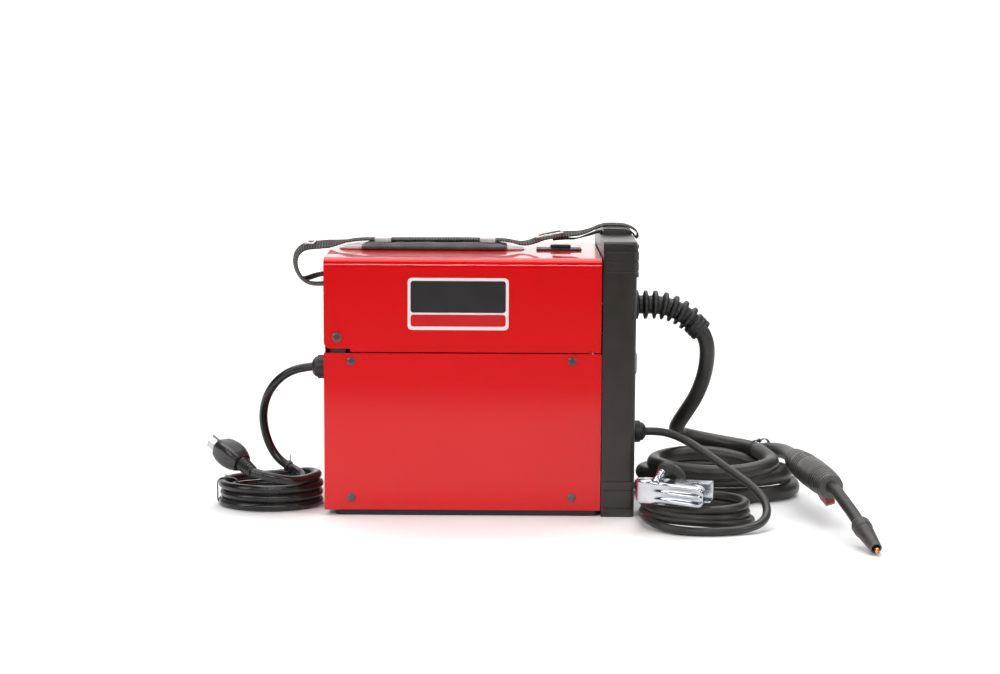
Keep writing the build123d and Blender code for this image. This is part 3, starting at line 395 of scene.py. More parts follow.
MATERIALS = {
    "red_paint": red_paint(),
    "bezel_plastic": plastic("bezel_plastic", (0.019, 0.0155, 0.0135), (0.027, 0.0225, 0.0195), (0.29, 0.36),
                             900, 0.00002, 0.0010, (0.06, 0.054, 0.05)),
    "black_plastic": plastic("black_plastic", (0.012, 0.011, 0.0105), (0.022, 0.021, 0.020), (0.34, 0.46)),
    "panel_plastic": plastic("panel_plastic", (0.030, 0.030, 0.031), (0.042, 0.042, 0.043), (0.5, 0.6)),
    "red_plastic": plastic("red_plastic", (0.42, 0.008, 0.006), (0.55, 0.014, 0.010), (0.29, 0.36)),
    "grey_plastic": plastic("grey_plastic", (0.42, 0.42, 0.40), (0.52, 0.52, 0.50), (0.3, 0.42)),
    "spool_plastic": plastic("spool_plastic", (0.025, 0.026, 0.030), (0.045, 0.046, 0.050), (0.35, 0.5)),
    "gun_plastic": plastic("gun_plastic", (0.030, 0.028, 0.025), (0.050, 0.047, 0.043), (0.42, 0.56),
                           1100, 0.00008, 0.0008, (0.09, 0.085, 0.08)),
    "black_rubber": plastic("black_rubber", (0.011, 0.010, 0.0095), (0.024, 0.022, 0.021), (0.38, 0.55),
                            700, 0.00005, 0.0008),
    "gun_cable_rubber": jacket("gun_cable_rubber", (0.017, 0.0155, 0.014), (0.030, 0.028, 0.025),
                               (0.34, 0.46), (0.05, 0.047, 0.043), 0.017),
    "cable_rubber": jacket("cable_rubber", (0.014, 0.0125, 0.0115), (0.024, 0.022, 0.020), (0.30, 0.42),
                           (0.045, 0.042, 0.04), 0.0088),
    "mains_rubber": jacket("mains_rubber", (0.007, 0.0068, 0.0068), (0.014, 0.0135, 0.013), (0.18, 0.26),
                           (0.03, 0.029, 0.028), 0.0094),
    "zinc_steel": metal("zinc_steel", (0.42, 0.43, 0.42), (0.62, 0.62, 0.60), (0.28, 0.45)),
    "black_screws": metal("black_screws", (0.10, 0.093, 0.09), (0.17, 0.16, 0.155), (0.30, 0.42)),
    "aluminium": metal("aluminium", (0.60, 0.61, 0.62), (0.74, 0.74, 0.75), (0.30, 0.42), (20, 1, 1)),
    "brass": metal("brass", (0.60, 0.42, 0.16), (0.76, 0.56, 0.25), (0.18, 0.26)),
    "copper": metal("copper", (0.74, 0.28, 0.13), (0.86, 0.40, 0.22), (0.18, 0.26)),
    "chrome": metal("chrome", (0.50, 0.53, 0.57), (0.66, 0.69, 0.73), (0.12, 0.24), (1, 1, 3), 240, 0.00002,
                    0.0009),
    "laminated_steel": laminated_steel(),
    "copper_wire": wound("copper_wire", (0.22, 0.06, 0.02), (0.62, 0.24, 0.09), 0.0016, "X"),
    "wire_steel": wound("wire_steel", (0.12, 0.09, 0.06), (0.56, 0.50, 0.42), 0.0012, "Y"),
    "circuit_board": circuit_board(),
    "webbing": webbing_cloth(),
    "pad_fabric": pad_cloth(),
    "gun_grip": grip_plastic(),
    "trigger_plastic": plastic("trigger_plastic", (0.16, 0.010, 0.008), (0.22, 0.014, 0.010), (0.35, 0.45)),
    "clear_plastic": clear_plastic(),
    "stitch_thread": stitch_thread(),
    "white_ink": printed("white_ink", (0.80, 0.80, 0.79)),
    "badge_field": printed("badge_field", (0.019, 0.017, 0.017), 0.35),
    "red_ink": printed("red_ink", (0.60, 0.003, 0.006), 0.35),
}

FINISH_OF = {"gun_handle_left": "gun_grip", "gun_handle_right": "gun_grip", "gun_trigger": "trigger_plastic"}


def finish_nodes():
    """Gives every CAD node the procedural material of its slot."""
    for node in NODES.values():
        for holder in node.material_slots:
            holder.material = MATERIALS[FINISH_OF.get(node.name, holder.material.name.split(".")[0])]
        for polygon in node.data.polygons:
            polygon.use_smooth = True
        node.data.set_sharp_from_angle(angle=math.radians(32))


# ---- mesh helpers ----------------------------------------------------------------------
def ease(share):
    """0 to 1 with a level start and end."""
    return (1 - math.cos(math.pi * share)) / 2


def piece(name, vertices, faces, finish, body, sharp=35, uvs=None):
    """A mesh object with a material, riding on a CAD body. uvs holds one pair for each vertex."""
    mesh = bpy.data.meshes.new(name)
    mesh.from_pydata([tuple(v) for v in vertices], [], faces)
    mesh.materials.append(MATERIALS[finish])
    for polygon in mesh.polygons:
        polygon.use_smooth = True
    mesh.set_sharp_from_angle(angle=math.radians(sharp))
    if uvs:
        layer = mesh.uv_layers.new(name="cloth")
        for corner in mesh.loops:
            layer.data[corner.index].uv = uvs[corner.vertex_index]
    made = bpy.data.objects.new(name, mesh)
    bpy.context.scene.collection.objects.link(made)
    if body:
        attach(made, body)
    return made


def skin(rings, closed_ring=True, caps=True, closed_path=False):
    """Vertices and faces of a surface through rings of points."""
    vertices = [point for ring in rings for point in ring]
    count = len(rings[0])
    faces = []
    last = len(rings) if closed_path else len(rings) - 1
    for row in range(last):
        after = (row + 1) % len(rings)
        for column in range(count if closed_ring else count - 1):
            across = (column + 1) % count
            faces.append((row * count + column, row * count + across, after * count + across,
                          after * count + column))
    if caps and not closed_path:
        faces.append(tuple(reversed(range(count))))
        faces.append(tuple((len(rings) - 1) * count + column for column in range(count)))
    return vertices, faces


def merged(solids):
    """Vertices and faces of several solids as one mesh."""
    vertices, faces = [], []
    for more_vertices, more_faces in solids:
        shift = len(vertices)
        vertices += more_vertices
        faces += [tuple(shift + index for index in face) for face in more_faces]
    return vertices, faces


def square_to(axis):
    """Two unit vectors at right angles to an axis and to each other."""
    axis = axis.normalized()
    helper = Vector((0, 0, 1)) if abs(axis.z) < 0.9 else Vector((0, 1, 0))
    side = axis.cross(helper).normalized()
    return side, side.cross(axis).normalized()


def turned(start, end, profile, segments=48):
    """Vertices and faces of a solid of revolution. profile lists (distance, radius) from start to end."""
    axis = (end - start).normalized()
    side, up = square_to(axis)
    rings = []
    for distance, radius in profile:
        centre = start + axis * distance
        ring = []
        for step in range(segments):
            angle = 2 * math.pi * step / segments
            ring.append(centre + (side * math.cos(angle) + up * math.sin(angle)) * max(radius, 0.00001))
        rings.append(ring)
    return skin(rings)


def rounded_outline(width, height, radius, steps=6):
    """Points of a rounded rectangle about the origin, counter-clockwise."""
    points = []
    corners = [(1, 1, 0), (-1, 1, 90), (-1, -1, 180), (1, -1, 270)]
    for side_x, side_y, start in corners:
        middle = (side_x * (width / 2 - radius), side_y * (height / 2 - radius))
        for step in range(steps + 1):
            angle = math.radians(start + 90 * step / steps)
            points.append((middle[0] + radius * math.cos(angle), middle[1] + radius * math.sin(angle)))
    return points


def plate(origin, across, up, outline, thickness, edge=0.0003):
    """Vertices and faces of a flat plate with eased edges, standing out from origin."""
    out = across.cross(up).normalized()
    rings = []
    for height, inset in ((0, 0), (thickness - edge, 0), (thickness, edge)):
        ring = []
        for x, y in outline:
            reach = math.hypot(x, y)
            shrink = (reach - inset) / reach
            ring.append(origin + across * x * shrink + up * y * shrink + out * height)
        rings.append(ring)
    return skin(rings)


def spline_of(name, points):
    """A NURBS curve with the route's points as its control points."""
    curve = bpy.data.curves.new(name, "CURVE")
    curve.dimensions = "3D"
    curve.resolution_u = 12
    spline = curve.splines.new("NURBS")
    spline.points.add(len(points) - 1)
    for control, point in zip(spline.points, points):
        control.co = (*point, 1)
    spline.order_u = 3
    spline.use_endpoint_u = True
    made = bpy.data.objects.new(name, curve)
    bpy.context.scene.collection.objects.link(made)
    return made


def along_spline(points):
    """Points along the smooth NURBS line of a route."""
    helper = spline_of("route", points)
    bpy.context.view_layer.update()
    seen = helper.evaluated_get(bpy.context.evaluated_depsgraph_get())
    mesh = bpy.data.meshes.new_from_object(seen)
    found = [vertex.co.copy() for vertex in mesh.vertices]
    bpy.data.meshes.remove(mesh)
    bpy.data.objects.remove(helper)
    return found


def line_length(points):
    """Length of a line through points."""
    return sum((b - a).length for a, b in zip(points, points[1:]))


# ---- cords -----------------------------------------------------------------------------
def turns(stations, steps):
    """Points round a loose coil, steps to a turn. Each station is (angle, centre x, centre y, half width,
    half depth, height); the angle falls from one to the next, so the coil runs clockwise from above."""
    points = []
    for first, second in zip(stations, stations[1:]):
        count = max(1, round((first[0] - second[0]) * steps / 360))
        for step in range(count):
            share = step / count
            angle = math.radians(first[0] + (second[0] - first[0]) * share)
            cx, cy, a, b, z = (p + (q - p) * ease(share) for p, q in zip(first[1:], second[1:]))
            points.append((cx + a * math.cos(angle), cy + b * math.sin(angle), z))
    return points


def cord(name, points, diameter, finish):
    """A round cord along the smooth line of its points."""
    made = spline_of(name, metres(points))
    made.data.bevel_depth = diameter * MM / 2
    made.data.bevel_resolution = 7
    made.data.use_fill_caps = True
    made.data.materials.append(MATERIALS[finish])
    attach(made, "case")
    return made


def gun_route():
    """Out of the bellows, down behind the coil, three loose turns and up into the gun's handle."""
    coil = turns([(30, 257, 6, 66, 47, 44), (0, 257, 5, 66, 49, 40), (-90, 257, 5, 66, 49.5, 35.5),
                  (-180, 257, 5, 66.5, 49.5, 38), (-262, 257, 6, 67, 48, 40), (-335, 260, 12, 79, 46, 26),
                  (-640, 262, 14, 85, 46, 25.5), (-735, 262, 16, 86.5, 53.5, 8.9),
                  (-925, 262, 16, 86, 53.5, 8.7), (-985, 260, 18, 92, 68, 16),
                  (-1002, 258, 18, 92, 69, 21)], TURN_STEPS)
    return GUN_LEAD + coil + GUN_TAIL


def work_route():
    """Out of its gland, round the front of the coil, three turns and up into the clamp's boot."""
    coil = turns([(195, 223, -135, 54, 46, 9.2), (110, 224, -135, 57, 46, 4.9), (0, 226, -136, 58, 45, 4.7),
                  (-120, 223, -136, 55, 43.5, 12.5), (-200, 222, -135, 53, 43, 14),
                  (-420, 224, -134, 55, 45, 14.2), (-560, 223, -134, 52, 42, 22.6),
                  (-790, 225, -133, 54, 44, 22.9), (-890, 222, -134, 51, 42, 21),
                  (-915, 222, -135, 51, 40, 18.5)], TURN_STEPS)
    return WORK_LEAD + coil + WORK_TAIL


def mains_route():
    """Out of its gland, down into the bundle, an inner turn, then outer turns up to the plug."""
    coil = turns([(8, -232, -47, 37, 22, 28.5), (-110, -230, -48, 41, 29, 14), (-230, -230, -48, 43, 31, 4.9),
                  (-560, -230, -47, 43, 31, 4.8), (-650, -230, -48, 53, 41, 4.8),
                  (-960, -230, -48, 53.5, 41.5, 4.8),
                  (-1060, -230, -48, 53, 41, 14.2), (-1330, -229, -48, 52, 40.5, 14.2),
                  (-1430, -230, -48, 53.5, 41, 23.7), (-1690, -231, -48, 52, 41, 23.6),
                  (-1790, -230, -48, 51.5, 40, 33), (-1828, -230, -48, 51, 39, 33.2)],
                 TURN_STEPS)
    return MAINS_LEAD + coil + MAINS_TAIL


SLOT_OF = {name: name for name in MATERIALS}
SLOT_OF.update({"stitch_thread": "pad_fabric", "white_ink": "grey_plastic", "badge_field": "black_plastic",
                "gun_grip": "gun_plastic", "trigger_plastic": "red_plastic", "red_ink": "red_plastic"})


def add_cords():
    """The gun cable, the work cable and the mains cord."""
    gun = cord("gun_cable_whole", gun_route(), GUN_D, "gun_cable_rubber")
    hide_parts("gun_cable", "gun_cable_coil")
    work = cord("work_cable_whole", work_route(), WORK_D, "cable_rubber")
    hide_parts("work_cable", "work_cable_coil")
    mains = cord("mains_cord_whole", mains_route(), MAINS_D, "mains_rubber")
    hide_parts("mains_cord", "mains_cord_coil")
    return gun, work, mains


def declare_cords(mains_extras):
    """Measures how long the smooth line of each cord is."""
    gun_long, work_long, mains_long = (line_length(along_spline(metres(route)))
                                       for route in (gun_route(), work_route(), mains_route()))


# ---- camera, stage and light -----------------------------------------------------------
CAMERA_PLACE = Vector((0.01859, -2.2678, 0.48599))
CAMERA_LENS = 74.73
CAMERA_TILT = 0.1349  # radians below level
CAMERA_ROLL = 0.0054


def add_camera():
    """Camera at the working distance of the studio shot, a little above the case and tilted down."""
    lens = bpy.data.cameras.new("camera")
    lens.lens = CAMERA_LENS
    lens.sensor_width = 36
    lens.clip_end = 50
    camera = bpy.data.objects.new("camera", lens)
    bpy.context.scene.collection.objects.link(camera)
    turn = Matrix.Rotation(math.pi / 2 - CAMERA_TILT, 4, "X") @ Matrix.Rotation(CAMERA_ROLL, 4, "Z")
    camera.matrix_world = Matrix.Translation(CAMERA_PLACE) @ turn
    bpy.context.scene.camera = camera


def add_stage():
    """White floor that curves up into a backdrop."""
    bend_y, bend_radius, steps = 1.6, 1.2, 12
    rings = []
    for x in (-6, 6):
        ring = [Vector((x, -5, 0)), Vector((x, bend_y, 0))]
        for step in range(1, steps + 1):
            angle = math.radians(90 * step / steps)
            ring.append(Vector((x, bend_y + bend_radius * math.sin(angle),
                                bend_radius - bend_radius * math.cos(angle))))
        ring.append(Vector((x, bend_y + bend_radius, 5)))
        rings.append(ring)
    vertices, faces = skin(rings, closed_ring=False, caps=False)
    mesh = bpy.data.meshes.new("studio_floor")
    mesh.from_pydata([tuple(v) for v in vertices], [], faces)
    mesh.materials.append(floor_material())
    for polygon in mesh.polygons:
        polygon.use_smooth = True
    floor = bpy.data.objects.new("studio_floor", mesh)
    bpy.context.scene.collection.objects.link(floor)


def softbox(name, place, aim, width, height, power, spread=180):
    """A soft rectangular light."""
    lamp = bpy.data.lights.new(name, "AREA")
    lamp.shape = "RECTANGLE"
    lamp.size = width
    lamp.size_y = height
    lamp.energy = power
    lamp.spread = math.radians(spread)
    made = bpy.data.objects.new(name, lamp)
    made.location = place
    made.rotation_euler = (Vector(aim) - Vector(place)).to_track_quat("-Z", "Y").to_euler()
    bpy.context.scene.collection.objects.link(made)
    return made


def add_lights():
    """High-key studio light: soft boxes above, in front and at each side, a bright backdrop, a dim front."""
    softbox("top_box", (0, 0.35, 2.6), (0, 0.05, 0), 3.6, 2.6, 78)
    softbox("front_box", (0, -2.7, 1.65), (0, 0, 0.15), 3.4, 0.28, 9, 75)
    softbox("left_box", (-2.3, -1.7, 1.7), (0, 0, 0.15), 1.1, 1.5, 21)
    softbox("right_box", (2.5, -1.5, 1.5), (0, 0, 0.15), 1.1, 1.5, 21)
    softbox("backdrop_light", (0, 1.0, 2.6), (0, 2.8, 0.9), 4.5, 0.6, 60)
    world = bpy.data.worlds.new("studio")
    world.use_nodes = True
    tree = world.node_tree
    place = tree.nodes.new("ShaderNodeTexCoord")
    apart = tree.nodes.new("ShaderNodeSeparateXYZ")
    fade = tree.nodes.new("ShaderNodeMapRange")
    for name, value in (("From Min", -0.6), ("From Max", 0.15), ("To Min", 0.02), ("To Max", 0.85)):
        fade.inputs[name].default_value = value
    tree.links.new(place.outputs["Generated"], apart.inputs[0])
    tree.links.new(apart.outputs["Y"], fade.inputs["Value"])
    tree.links.new(fade.outputs["Result"], tree.nodes["Background"].inputs["Strength"])
    bpy.context.scene.world = world
    bpy.context.scene.view_settings.view_transform = "Standard"


# ---- bellows and ties ------------------------------------------------------------------
BELLOWS_START = Vector((0.162, -0.020, 0.2175))
BELLOWS_STRAIGHT = 0.022
BELLOWS_BEND = 0.062
BELLOWS_TURN = math.radians(45)
BELLOWS_LENGTH = BELLOWS_STRAIGHT + BELLOWS_BEND * BELLOWS_TURN


def bellows_station(distance):
    """Centre and direction of the bellows' axis at a distance from the front panel."""
    if distance <= BELLOWS_STRAIGHT:
        return BELLOWS_START + Vector((distance, 0, 0)), Vector((1, 0, 0))
    turn = min((distance - BELLOWS_STRAIGHT) / BELLOWS_BEND, BELLOWS_TURN)
    centre = BELLOWS_START + Vector((BELLOWS_STRAIGHT + BELLOWS_BEND * math.sin(turn), 0,
                                     -BELLOWS_BEND * (1 - math.cos(turn))))
    ahead = Vector((math.cos(turn), 0, -math.sin(turn)))
    return centre + ahead * max(0.0, distance - BELLOWS_LENGTH), ahead


def add_bellows():
    """Flanged convolutions that shrink along a bending axis, and a ridged collar at the end."""
    ribs, per_rib, segments = 7, 18, 56
    outline = []
    for step in range(ribs * per_rib + 1):
        share = step / (ribs * per_rib)
        wave = ease(min(1.0, max(0.0, 0.85 - 1.5 * math.cos(2 * math.pi * share * ribs)) / 1.9))
        peak, root = 0.0161 - 0.0018 * share, 0.0100
        outline.append((share * BELLOWS_LENGTH, root + (peak - root) * wave))
    collar = [(0.0002, 0.0112), (0.0006, 0.0122), (0.0016, 0.0129), (0.0050, 0.0130), (0.0056, 0.0125),
              (0.0064, 0.0125), (0.0070, 0.0130), (0.0098, 0.0130), (0.0104, 0.0125), (0.0112, 0.0125),
              (0.0118, 0.0130), (0.0148, 0.0129), (0.0157, 0.0122), (0.0160, 0.0110), (0.0160, 0.0084)]
    outline += [(BELLOWS_LENGTH + distance, radius) for distance, radius in collar]
    rings = []
    for distance, radius in outline:
        centre, ahead = bellows_station(distance)
        across = Vector((0, 1, 0))
        up = ahead.cross(across)
        ring = []
        for step in range(segments):
            angle = 2 * math.pi * step / segments
            ring.append(centre + (across * math.cos(angle) + up * math.sin(angle)) * radius)
        rings.append(ring)
    made = piece("gun_bellows_moulding", *skin(rings), "black_rubber", "case", 60)
    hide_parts("gun_bellows")
    return made


def tie(name, centre, axis, width, height, tail, corner=20):
    """A cable tie: a thin band round some strands, its head and a cut tail. Its centre, size, tail and corner
    radius are in millimetres."""
    side, up = square_to(Vector(axis))
    axis = Vector(axis).normalized()
    radius = min(width * 0.49, height * 0.49, corner)
    outline = rounded_outline(width * MM, height * MM, radius * MM, 10)
    rings = []
    for inset, along in ((0, -1.7), (0, 1.7), (1.1, 1.7), (1.1, -1.7)):
        ring = []
        for x, y in outline:
            reach = math.hypot(x, y)
            scale = (reach - inset * MM) / reach
            ring.append(Vector(centre) * MM + (side * x + up * y) * scale + axis * along * MM)
        rings.append(ring)
    band = skin(rings, caps=False, closed_path=True)
    top = Vector(centre) * MM + up * (height / 2 * MM)
    head_outline = rounded_outline(0.0050, 0.0048, 0.0010, 4)
    head = plate(top - side * 0.0004, axis, side, head_outline, 0.0030, 0.0006)
    tail_start = top + up * 0.0014
    tail_end = tail_start + side * tail[0] * MM + up * tail[1] * MM
    tail_length = (tail_end - tail_start).length
    strip = turned(tail_start, tail_end, [(0, 0.0007), (tail_length, 0.0006)], 8)
    return piece(name, *merged([band, head, strip]), "black_plastic", "case", 40)


# ---- strap and pad ---------------------------------------------------------------------
def strap_line(route):
    """Smooth line of a strap route written as (x, z) pairs."""
    middle = (STRAP_Y0 + STRAP_Y1) / 2
    return along_spline(metres([(x, middle, z) for x, z in route]))


def strap_lean(point):
    """How far the strap leans over about its own line: most in its rear loop and before the bridge."""
    if point.x < -0.150:
        return 0.26 * min(1.0, (-0.150 - point.x) / 0.020)
    if 0.030 < point.x < 0.122 and point.z > 0.2795:
        return 0.17 * math.sin(math.pi * (point.x - 0.030) / 0.092)
    return 0.02


def ribbon(line, width, thickness):
    """Vertices, faces and cloth coordinates of a band along a line in the XZ plane, leaning a little."""
    outline = rounded_outline(width, thickness, thickness * 0.42, 3)
    rings, uvs = [], []
    travelled = 0.0
    for index, point in enumerate(line):
        before, after = line[max(index - 1, 0)], line[min(index + 1, len(line) - 1)]
        ahead = (after - before).normalized()
        out = Vector((-ahead.z, 0, ahead.x))
        if index:
            travelled += (point - line[index - 1]).length
        sway = 0.0006 * math.sin(travelled * 31) + 0.0003 * math.sin(travelled * 83 + 1)
        lean = strap_lean(point)
        across = Vector((0, math.cos(lean), 0)) + out * math.sin(lean)
        face = out * math.cos(lean) - Vector((0, math.sin(lean), 0))
        rings.append([point + across * (x + sway) + face * y for x, y in outline])
        uvs += [(travelled, x) for x, _ in outline]
    vertices, faces = skin(rings)
    return vertices, faces, uvs


def add_strap():
    """The whole strap: rear loop, run over the pad, and the front end over the bridge and back."""
    width = (STRAP_Y1 - STRAP_Y0) * MM
    bands = [ribbon(strap_line(route), width, STRAP_T * MM) for route in (STRAP_MAIN, STRAP_ANCHOR)]
    vertices, faces = merged([band[:2] for band in bands])
    uvs = bands[0][2] + bands[1][2]
    made = piece("strap_webbing_band", vertices, faces, "webbing", None, 50, uvs)
    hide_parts("strap_webbing", "strap_front_loop")
    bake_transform(made)
    return made


def evenly(outline, count):
    """The closed outline again, as count evenly spaced points."""
    corners = [Vector((x, y, 0)) for x, y in outline]
    spans = [(b - a).length for a, b in zip(corners, corners[1:] + corners[:1])]
    total = sum(spans)
    points, index, passed = [], 0, 0.0
    for step in range(count):
        wanted = total * step / count
        while passed + spans[index] < wanted:
            passed += spans[index]
            index += 1
        share = (wanted - passed) / spans[index]
        point = corners[index].lerp(corners[(index + 1) % len(corners)], share)
        points.append((point.x, point.y))
    return points


PAD_MIDDLE = (-54.0, 10.0)
PAD_SIZE = (160.0, 52.0)
PAD_BASE = 275.35


def add_pad():
    """Padded shoulder piece: piped rim, sewn channel inside it, crowned middle and a ribbed edge."""
    chosen = random.Random(4)
    pulls = []  # place along the pad, depth and reach of each soft dent
    profile = [(16, 0.05), (4, 0.0), (1.2, 0.5), (0.2, 1.6), (0, 2.8), (0.3, 3.8), (1.2, 4.6), (2.2, 4.7),
               (3.0, 4.2), (3.6, 3.9), (4.4, 4.6), (6, 5.9), (8.5, 7.0), (12, 7.7), (17, 8.1), (23, 8.3)]
    count = 880
    for _ in range(22):
        pulls.append((chosen.uniform(-80, 80), chosen.uniform(0.15, 0.4), chosen.uniform(4, 9)))
    rings = []
    for inset, height in profile:
        width, depth = PAD_SIZE[0] - 2 * inset, PAD_SIZE[1] - 2 * inset
        outline = rounded_outline(width, depth, max(9 - inset * 0.4, 2), 8)
        ribbed = inset + height > 0.1 and inset < 3.4
        ring = []
        for step, (x, y) in enumerate(evenly(outline, count)):
            rib = 0.22 * math.sin(2 * math.pi * step / 8) if ribbed else 0.0
            dip = sum(deep * math.exp(-((x - at) / reach) ** 2) for at, deep, reach in pulls)
            lift = -dip * min(1.0, inset / 10) if height > 5 else 0.0
            scale = 1 + rib / math.hypot(x, y)
            place = (PAD_MIDDLE[0] + x * scale, PAD_MIDDLE[1] + y * scale, PAD_BASE + max(height + lift, 0.0))
            ring.append(Vector(place) * MM)
        rings.append(ring)
    vertices, faces = skin(rings)
    made = piece("strap_pad_cushion", vertices, faces, "pad_fabric", "lid", 60)
    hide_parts("strap_pad")
    return made


def add_pad_stitches():
    """A row of stitches in the pad's sewn channel."""
    spots = evenly(rounded_outline(PAD_SIZE[0] - 7, PAD_SIZE[1] - 7, 7, 8), 300)
    spots = metres([(PAD_MIDDLE[0] + x, PAD_MIDDLE[1] + y, PAD_BASE + 4.15) for x, y in spots])
    stitches = []
    for step in range(0, 300, 3):
        first, second = spots[step], spots[(step + 2) % 300]
        long = (second - first).length
        stitches.append(turned(first, second, [(0, 0.0001), (0.0003, 0.00036), (long / 2, 0.00045),
                                               (long - 0.0003, 0.00036), (long, 0.0001)], 8))
    return piece("pad_stitches", *merged(stitches), "stitch_thread", "lid", 70)


def strap_height(line, x):
    """Height of the strap's line over a place on the lid."""
    top = [point for point in line if point.z > 0.279 and abs(point.x - x) < 0.02]
    near = min(top, key=lambda point: abs(point.x - x))
    return near.z


def add_keepers():
    """Clear bands that hold the strap's layers together."""
    line = strap_line(STRAP_MAIN[:23])
    for number, (low, high) in enumerate(((-119, -101), (-4, 13))):
        rings = []
        for share, inset in ((0, 0.5), (0.04, 0), (0.96, 0), (1, 0.5), (1, 1.1), (0.5, 1.3), (0, 1.1)):
            x = (low + (high - low) * share) * MM
            middle = Vector((x, 0.010, strap_height(line, x)))
            outline = rounded_outline(0.0290 - inset * 2 * MM, 0.0050 - inset * 2 * MM, 0.0011, 5)
            rings.append([middle + Vector((0, across, up)) for across, up in outline])
        solid = skin(rings, caps=False, closed_path=True)
        piece(f"strap_keeper_{number + 1}", *solid, "clear_plastic", "lid", 40)


def add_pad_ends():
    """Clear tongues at the pad's two ends. Each station is (x, half width, low, high)."""
    ends = {"rear": ((-158, 9, 275.4, 275.9), (-155, 15, 275.4, 277.2), (-147, 20, 275.4, 279.4),
                     (-138, 21, 275.4, 280.6), (-131, 20, 275.4, 279.8), (-128, 17, 275.6, 277.5)),
            "front": ((20, 17, 275.6, 277.5), (23, 20, 275.4, 279.0), (29, 19, 275.4, 278.0),
                      (36, 17, 275.4, 277.4), (43, 15, 275.4, 276.6), (45, 10, 275.4, 275.9))}
    for end, stations in ends.items():
        rings = []
        for x, half, low, high in stations:
            outline = rounded_outline(2 * half, high - low, min(half, (high - low) / 2) * 0.9, 5)
            rings.append([Vector((x, 10 + across, (low + high) / 2 + up)) * MM for across, up in outline])
        piece(f"strap_pad_end_{end}", *skin(rings), "clear_plastic", "lid", 40)


def add_adjusters():
    """Wire frames of the strap's two adjusters."""
    bars = [((58.5, -6.4, 289.2), (86, -6.4, 294.6)), ((58.5, 26.4, 289.2), (86, 26.4, 294.6)),
            ((-194.5, -6.4, 281.4), (-186, -6.4, 281.6)), ((-194.5, 26.4, 281.4), (-186, 26.4, 281.6)),
            ((-186, -6.4, 281.6), (-186, 26.4, 281.6))]
    rods = []
    for first, second in bars:
        start, end = metres([first, second])
        long = (end - start).length
        rods.append(turned(start, end, [(-0.0012, 0.0003), (-0.0009, 0.0008), (-0.0003, 0.0010),
                                        (long + 0.0003, 0.0010), (long + 0.0009, 0.0008),
                                        (long + 0.0012, 0.0003)], 16))
    piece("strap_adjuster_frames", *merged(rods), "clear_plastic", "lid", 50)


# ---- plates and marks ------------------------------------------------------------------
def add_badge():
    """Plain rounded plate on the lid's near side: pale rim, dark field and a red foot."""
    across, up = Vector((1, 0, 0)), Vector((0, 0, 1))
    middle = Vector((-0.0255, -0.105, 0.2270))
    layers = (("badge_rim", 0, (0.106, 0.055, 0.0045), 0.00030, "white_ink"),
              ("badge_field", 0.0076, (0.100, 0.0335, 0.0030), 0.00050, "badge_field"),
              ("badge_foot", -0.0175, (0.100, 0.0125, 0.0030), 0.00050, "red_ink"))
    for name, lift, size, rise, finish in layers:
        outline = rounded_outline(*size, 8)
        piece(name, *plate(middle + up * lift, across, up, outline, rise, 0.00015), finish, "lid")


PANEL_FACE = 0.1634
DIAL_YS = (0.015, 0.062)
DIAL_Z = 0.148


def add_dial_marks():
    """Scale ticks round the two knobs and a pointer line on each."""
    ticks = []
    for y in DIAL_YS:
        for step in range(11):
            angle = math.radians(225 - 27 * step)
            away = Vector((0, math.cos(angle), math.sin(angle)))
            aside = Vector((0, -math.sin(angle), math.cos(angle)))
            long = 0.0032 if step % 5 == 0 else 0.0020
            centre = Vector((PANEL_FACE, y, DIAL_Z)) + away * 0.0165
            outline = rounded_outline(long, 0.0007, 0.0002, 2)
            ticks.append(plate(centre, away, aside, outline, 0.00012, 0.00003))
    piece("dial_ticks", *merged(ticks), "white_ink", "case")
    for y, body, knob in zip(DIAL_YS, ("speed_dial", "voltage_dial"), ("speed_knob", "voltage_knob")):
        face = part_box(knob)[1].x
        line = plate(Vector((face, y, DIAL_Z + 0.0068)), Vector((0, 1, 0)), Vector((0, 0, 1)),
                     rounded_outline(0.0012, 0.0072, 0.0004, 3), 0.00015, 0.00004)
        piece(f"{body}_pointer", *line, "badge_field", body)


# ---- clamp -----------------------------------------------------------------------------
CLAMP_PIVOT = Vector((186.1, -170.0, 42.2))
CLAMP_AHEAD = Vector((71, -28, 0)).normalized()
CLAMP_SIDE = Vector((28, 71, 0)).normalized()


def channel(back, reach, half, flute):
    """Closed section of a pressed channel in (y, z) millimetres, with its back wall at back and its flanges
    up to reach."""
    wall, corner = 1.5, 3.2
    outer = [(reach + (back + corner - reach) * step / 3, half) for step in range(4)]
    for step in range(1, 6):
        angle = math.radians(90 + 90 * step / 6)
        outer.append((back + corner + corner * math.cos(angle), half - corner + corner * math.sin(angle)))
    for step in range(21):
        z = (half - corner) * (1 - 2 * step / 20)
        outer.append((back + flute * (0.5 - 0.5 * math.cos(2 * math.pi * step / 20 * 2)), z))
    for step in range(1, 6):
        angle = math.radians(180 + 90 * step / 6)
        outer.append((back + corner + corner * math.cos(angle), -half + corner + corner * math.sin(angle)))
    outer += [(reach + (back + corner - reach) * (3 - step) / 3, -half) for step in range(4)]
    inner = []
    for y, z in outer:
        behind = max(y, back + flute * 0.5) + wall if abs(z) < half - 0.1 else y
        inner.append((behind, z * (half - wall) / half))
    return outer + [(min(y, reach), z) for y, z in reversed(inner)]


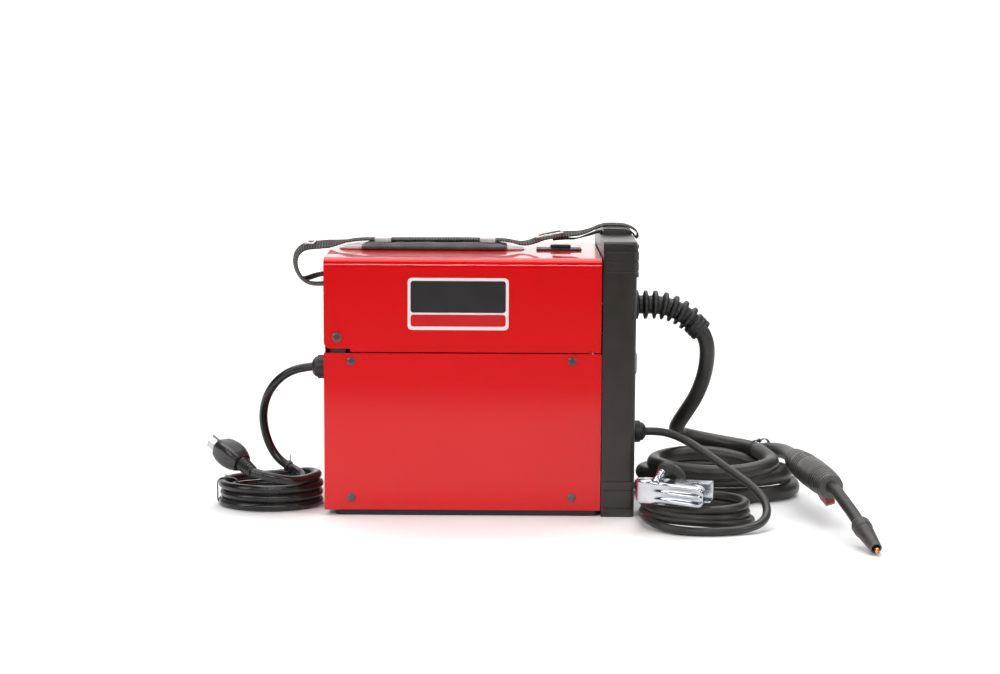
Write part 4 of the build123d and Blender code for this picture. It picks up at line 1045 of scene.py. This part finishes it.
def add_clamp_arm():
    """The near arm of the work clamp: square head, waisted at the pivot, and a fluted grip with a curled tip.
    Each station is (place along the arm, back, flange reach, half height, flute depth)."""
    stations = [(-26, -5.0, -0.5, 10.8, 0), (-25, -7.8, -0.5, 11.6, 0), (-22.5, -10.4, -0.2, 12.2, 0),
                (-19, -11.8, 0.4, 12.5, 0), (-9, -12.4, 3.6, 12.5, 0), (-6.5, -12.0, 5.0, 12.2, 0.1),
                (-4, -10.9, 5.4, 11.4, 0.3), (0, -10.6, 5.5, 11.1, 0.5), (4, -11.2, 5.4, 11.0, 0.9),
                (8, -12.8, 4.2, 11.0, 1.5), (14, -14.0, 1.5, 11.0, 2.0), (24, -16.0, -2.0, 11.1, 2.2),
                (34, -17.9, -5.4, 11.2, 2.2), (41, -19.4, -7.8, 11.2, 1.9), (44.5, -20.4, -8.8, 10.8, 1.2),
                (47, -20.8, -9.8, 9.6, 0.5), (48.6, -20.2, -10.2, 7.8, 0.1), (49.2, -18.8, -11.0, 6.4, 0)]
    rings = []
    for along, back, reach, half, flute in stations:
        ring = []
        for y, z in channel(back, reach, half, flute):
            ring.append((CLAMP_PIVOT + CLAMP_AHEAD * along + CLAMP_SIDE * y + Vector((0, 0, z))) * MM)
        rings.append(ring)
    lug = turned(Vector((187, -171, 64)) * MM, Vector((179.6, -174.7, 53)) * MM,
                 [(0, 0.0034), (0.0030, 0.0036), (0.0034, 0.0044), (0.0062, 0.0044), (0.0066, 0.0036),
                  (0.0100, 0.0036), (0.0128, 0.0050), (0.0135, 0.0046)], 28)
    nut = turned(Vector((179.5, -175.5, 54.4)) * MM, Vector((179.5, -175.5, 56.6)) * MM,
                 [(0, 0.0052), (0.0016, 0.0052), (0.0020, 0.0048)], 6)
    made = piece("clamp_near_arm_pressing", *merged([skin(rings), lug, nut]), "chrome", "case", 38)
    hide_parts("clamp_near_arm")
    return made


def add_plug_ribs():
    """Ribs round the plug's strain relief, each a little larger than the one behind it."""
    rear, tip = metres([(-244, -95, 44.4), (-293, -45, 69.4)])
    ahead = (tip - rear).normalized()
    ribs = []
    for number in range(5):
        start = rear + ahead * (0.0012 + 0.0037 * number)
        outer = 0.0066 + 0.00042 * number
        ribs.append(turned(start, start + ahead * 0.0024,
                           [(0, outer - 0.0022), (0.0003, outer - 0.0005), (0.0008, outer), (0.0016, outer),
                            (0.0021, outer - 0.0005), (0.0024, outer - 0.0022)], 32))
    return piece("mains_plug_relief_ribs", *merged(ribs), "mains_rubber", "case", 50)


# ---- the whole scene -------------------------------------------------------------------
finish_nodes()
add_camera()
add_stage()
add_lights()
gun_cord, work_cord, mains_cord = add_cords()
add_bellows()
gun_tie = tie("gun_cable_tie", (313.8, 56.8, 43.3), (0.72, -0.69, 0), 41, 22.4, (-3, -9))
mains_ties = [tie("mains_cord_tie_bundle", (-277.1, -50, 14.7), (0.05, 1, 0), 22.6, 29.2, (-3, 2), 6),
              tie("mains_cord_tie_lead", (-213.5, -22, 36.5), (0.8, -0.5, -0.35), 11.5, 11.5, (3, 7))]
declare_cords(mains_ties + [add_plug_ribs()])
add_clamp_arm()
add_strap()
add_pad()
add_pad_stitches()
add_keepers()
add_pad_ends()
add_adjusters()
add_badge()
add_dial_marks()
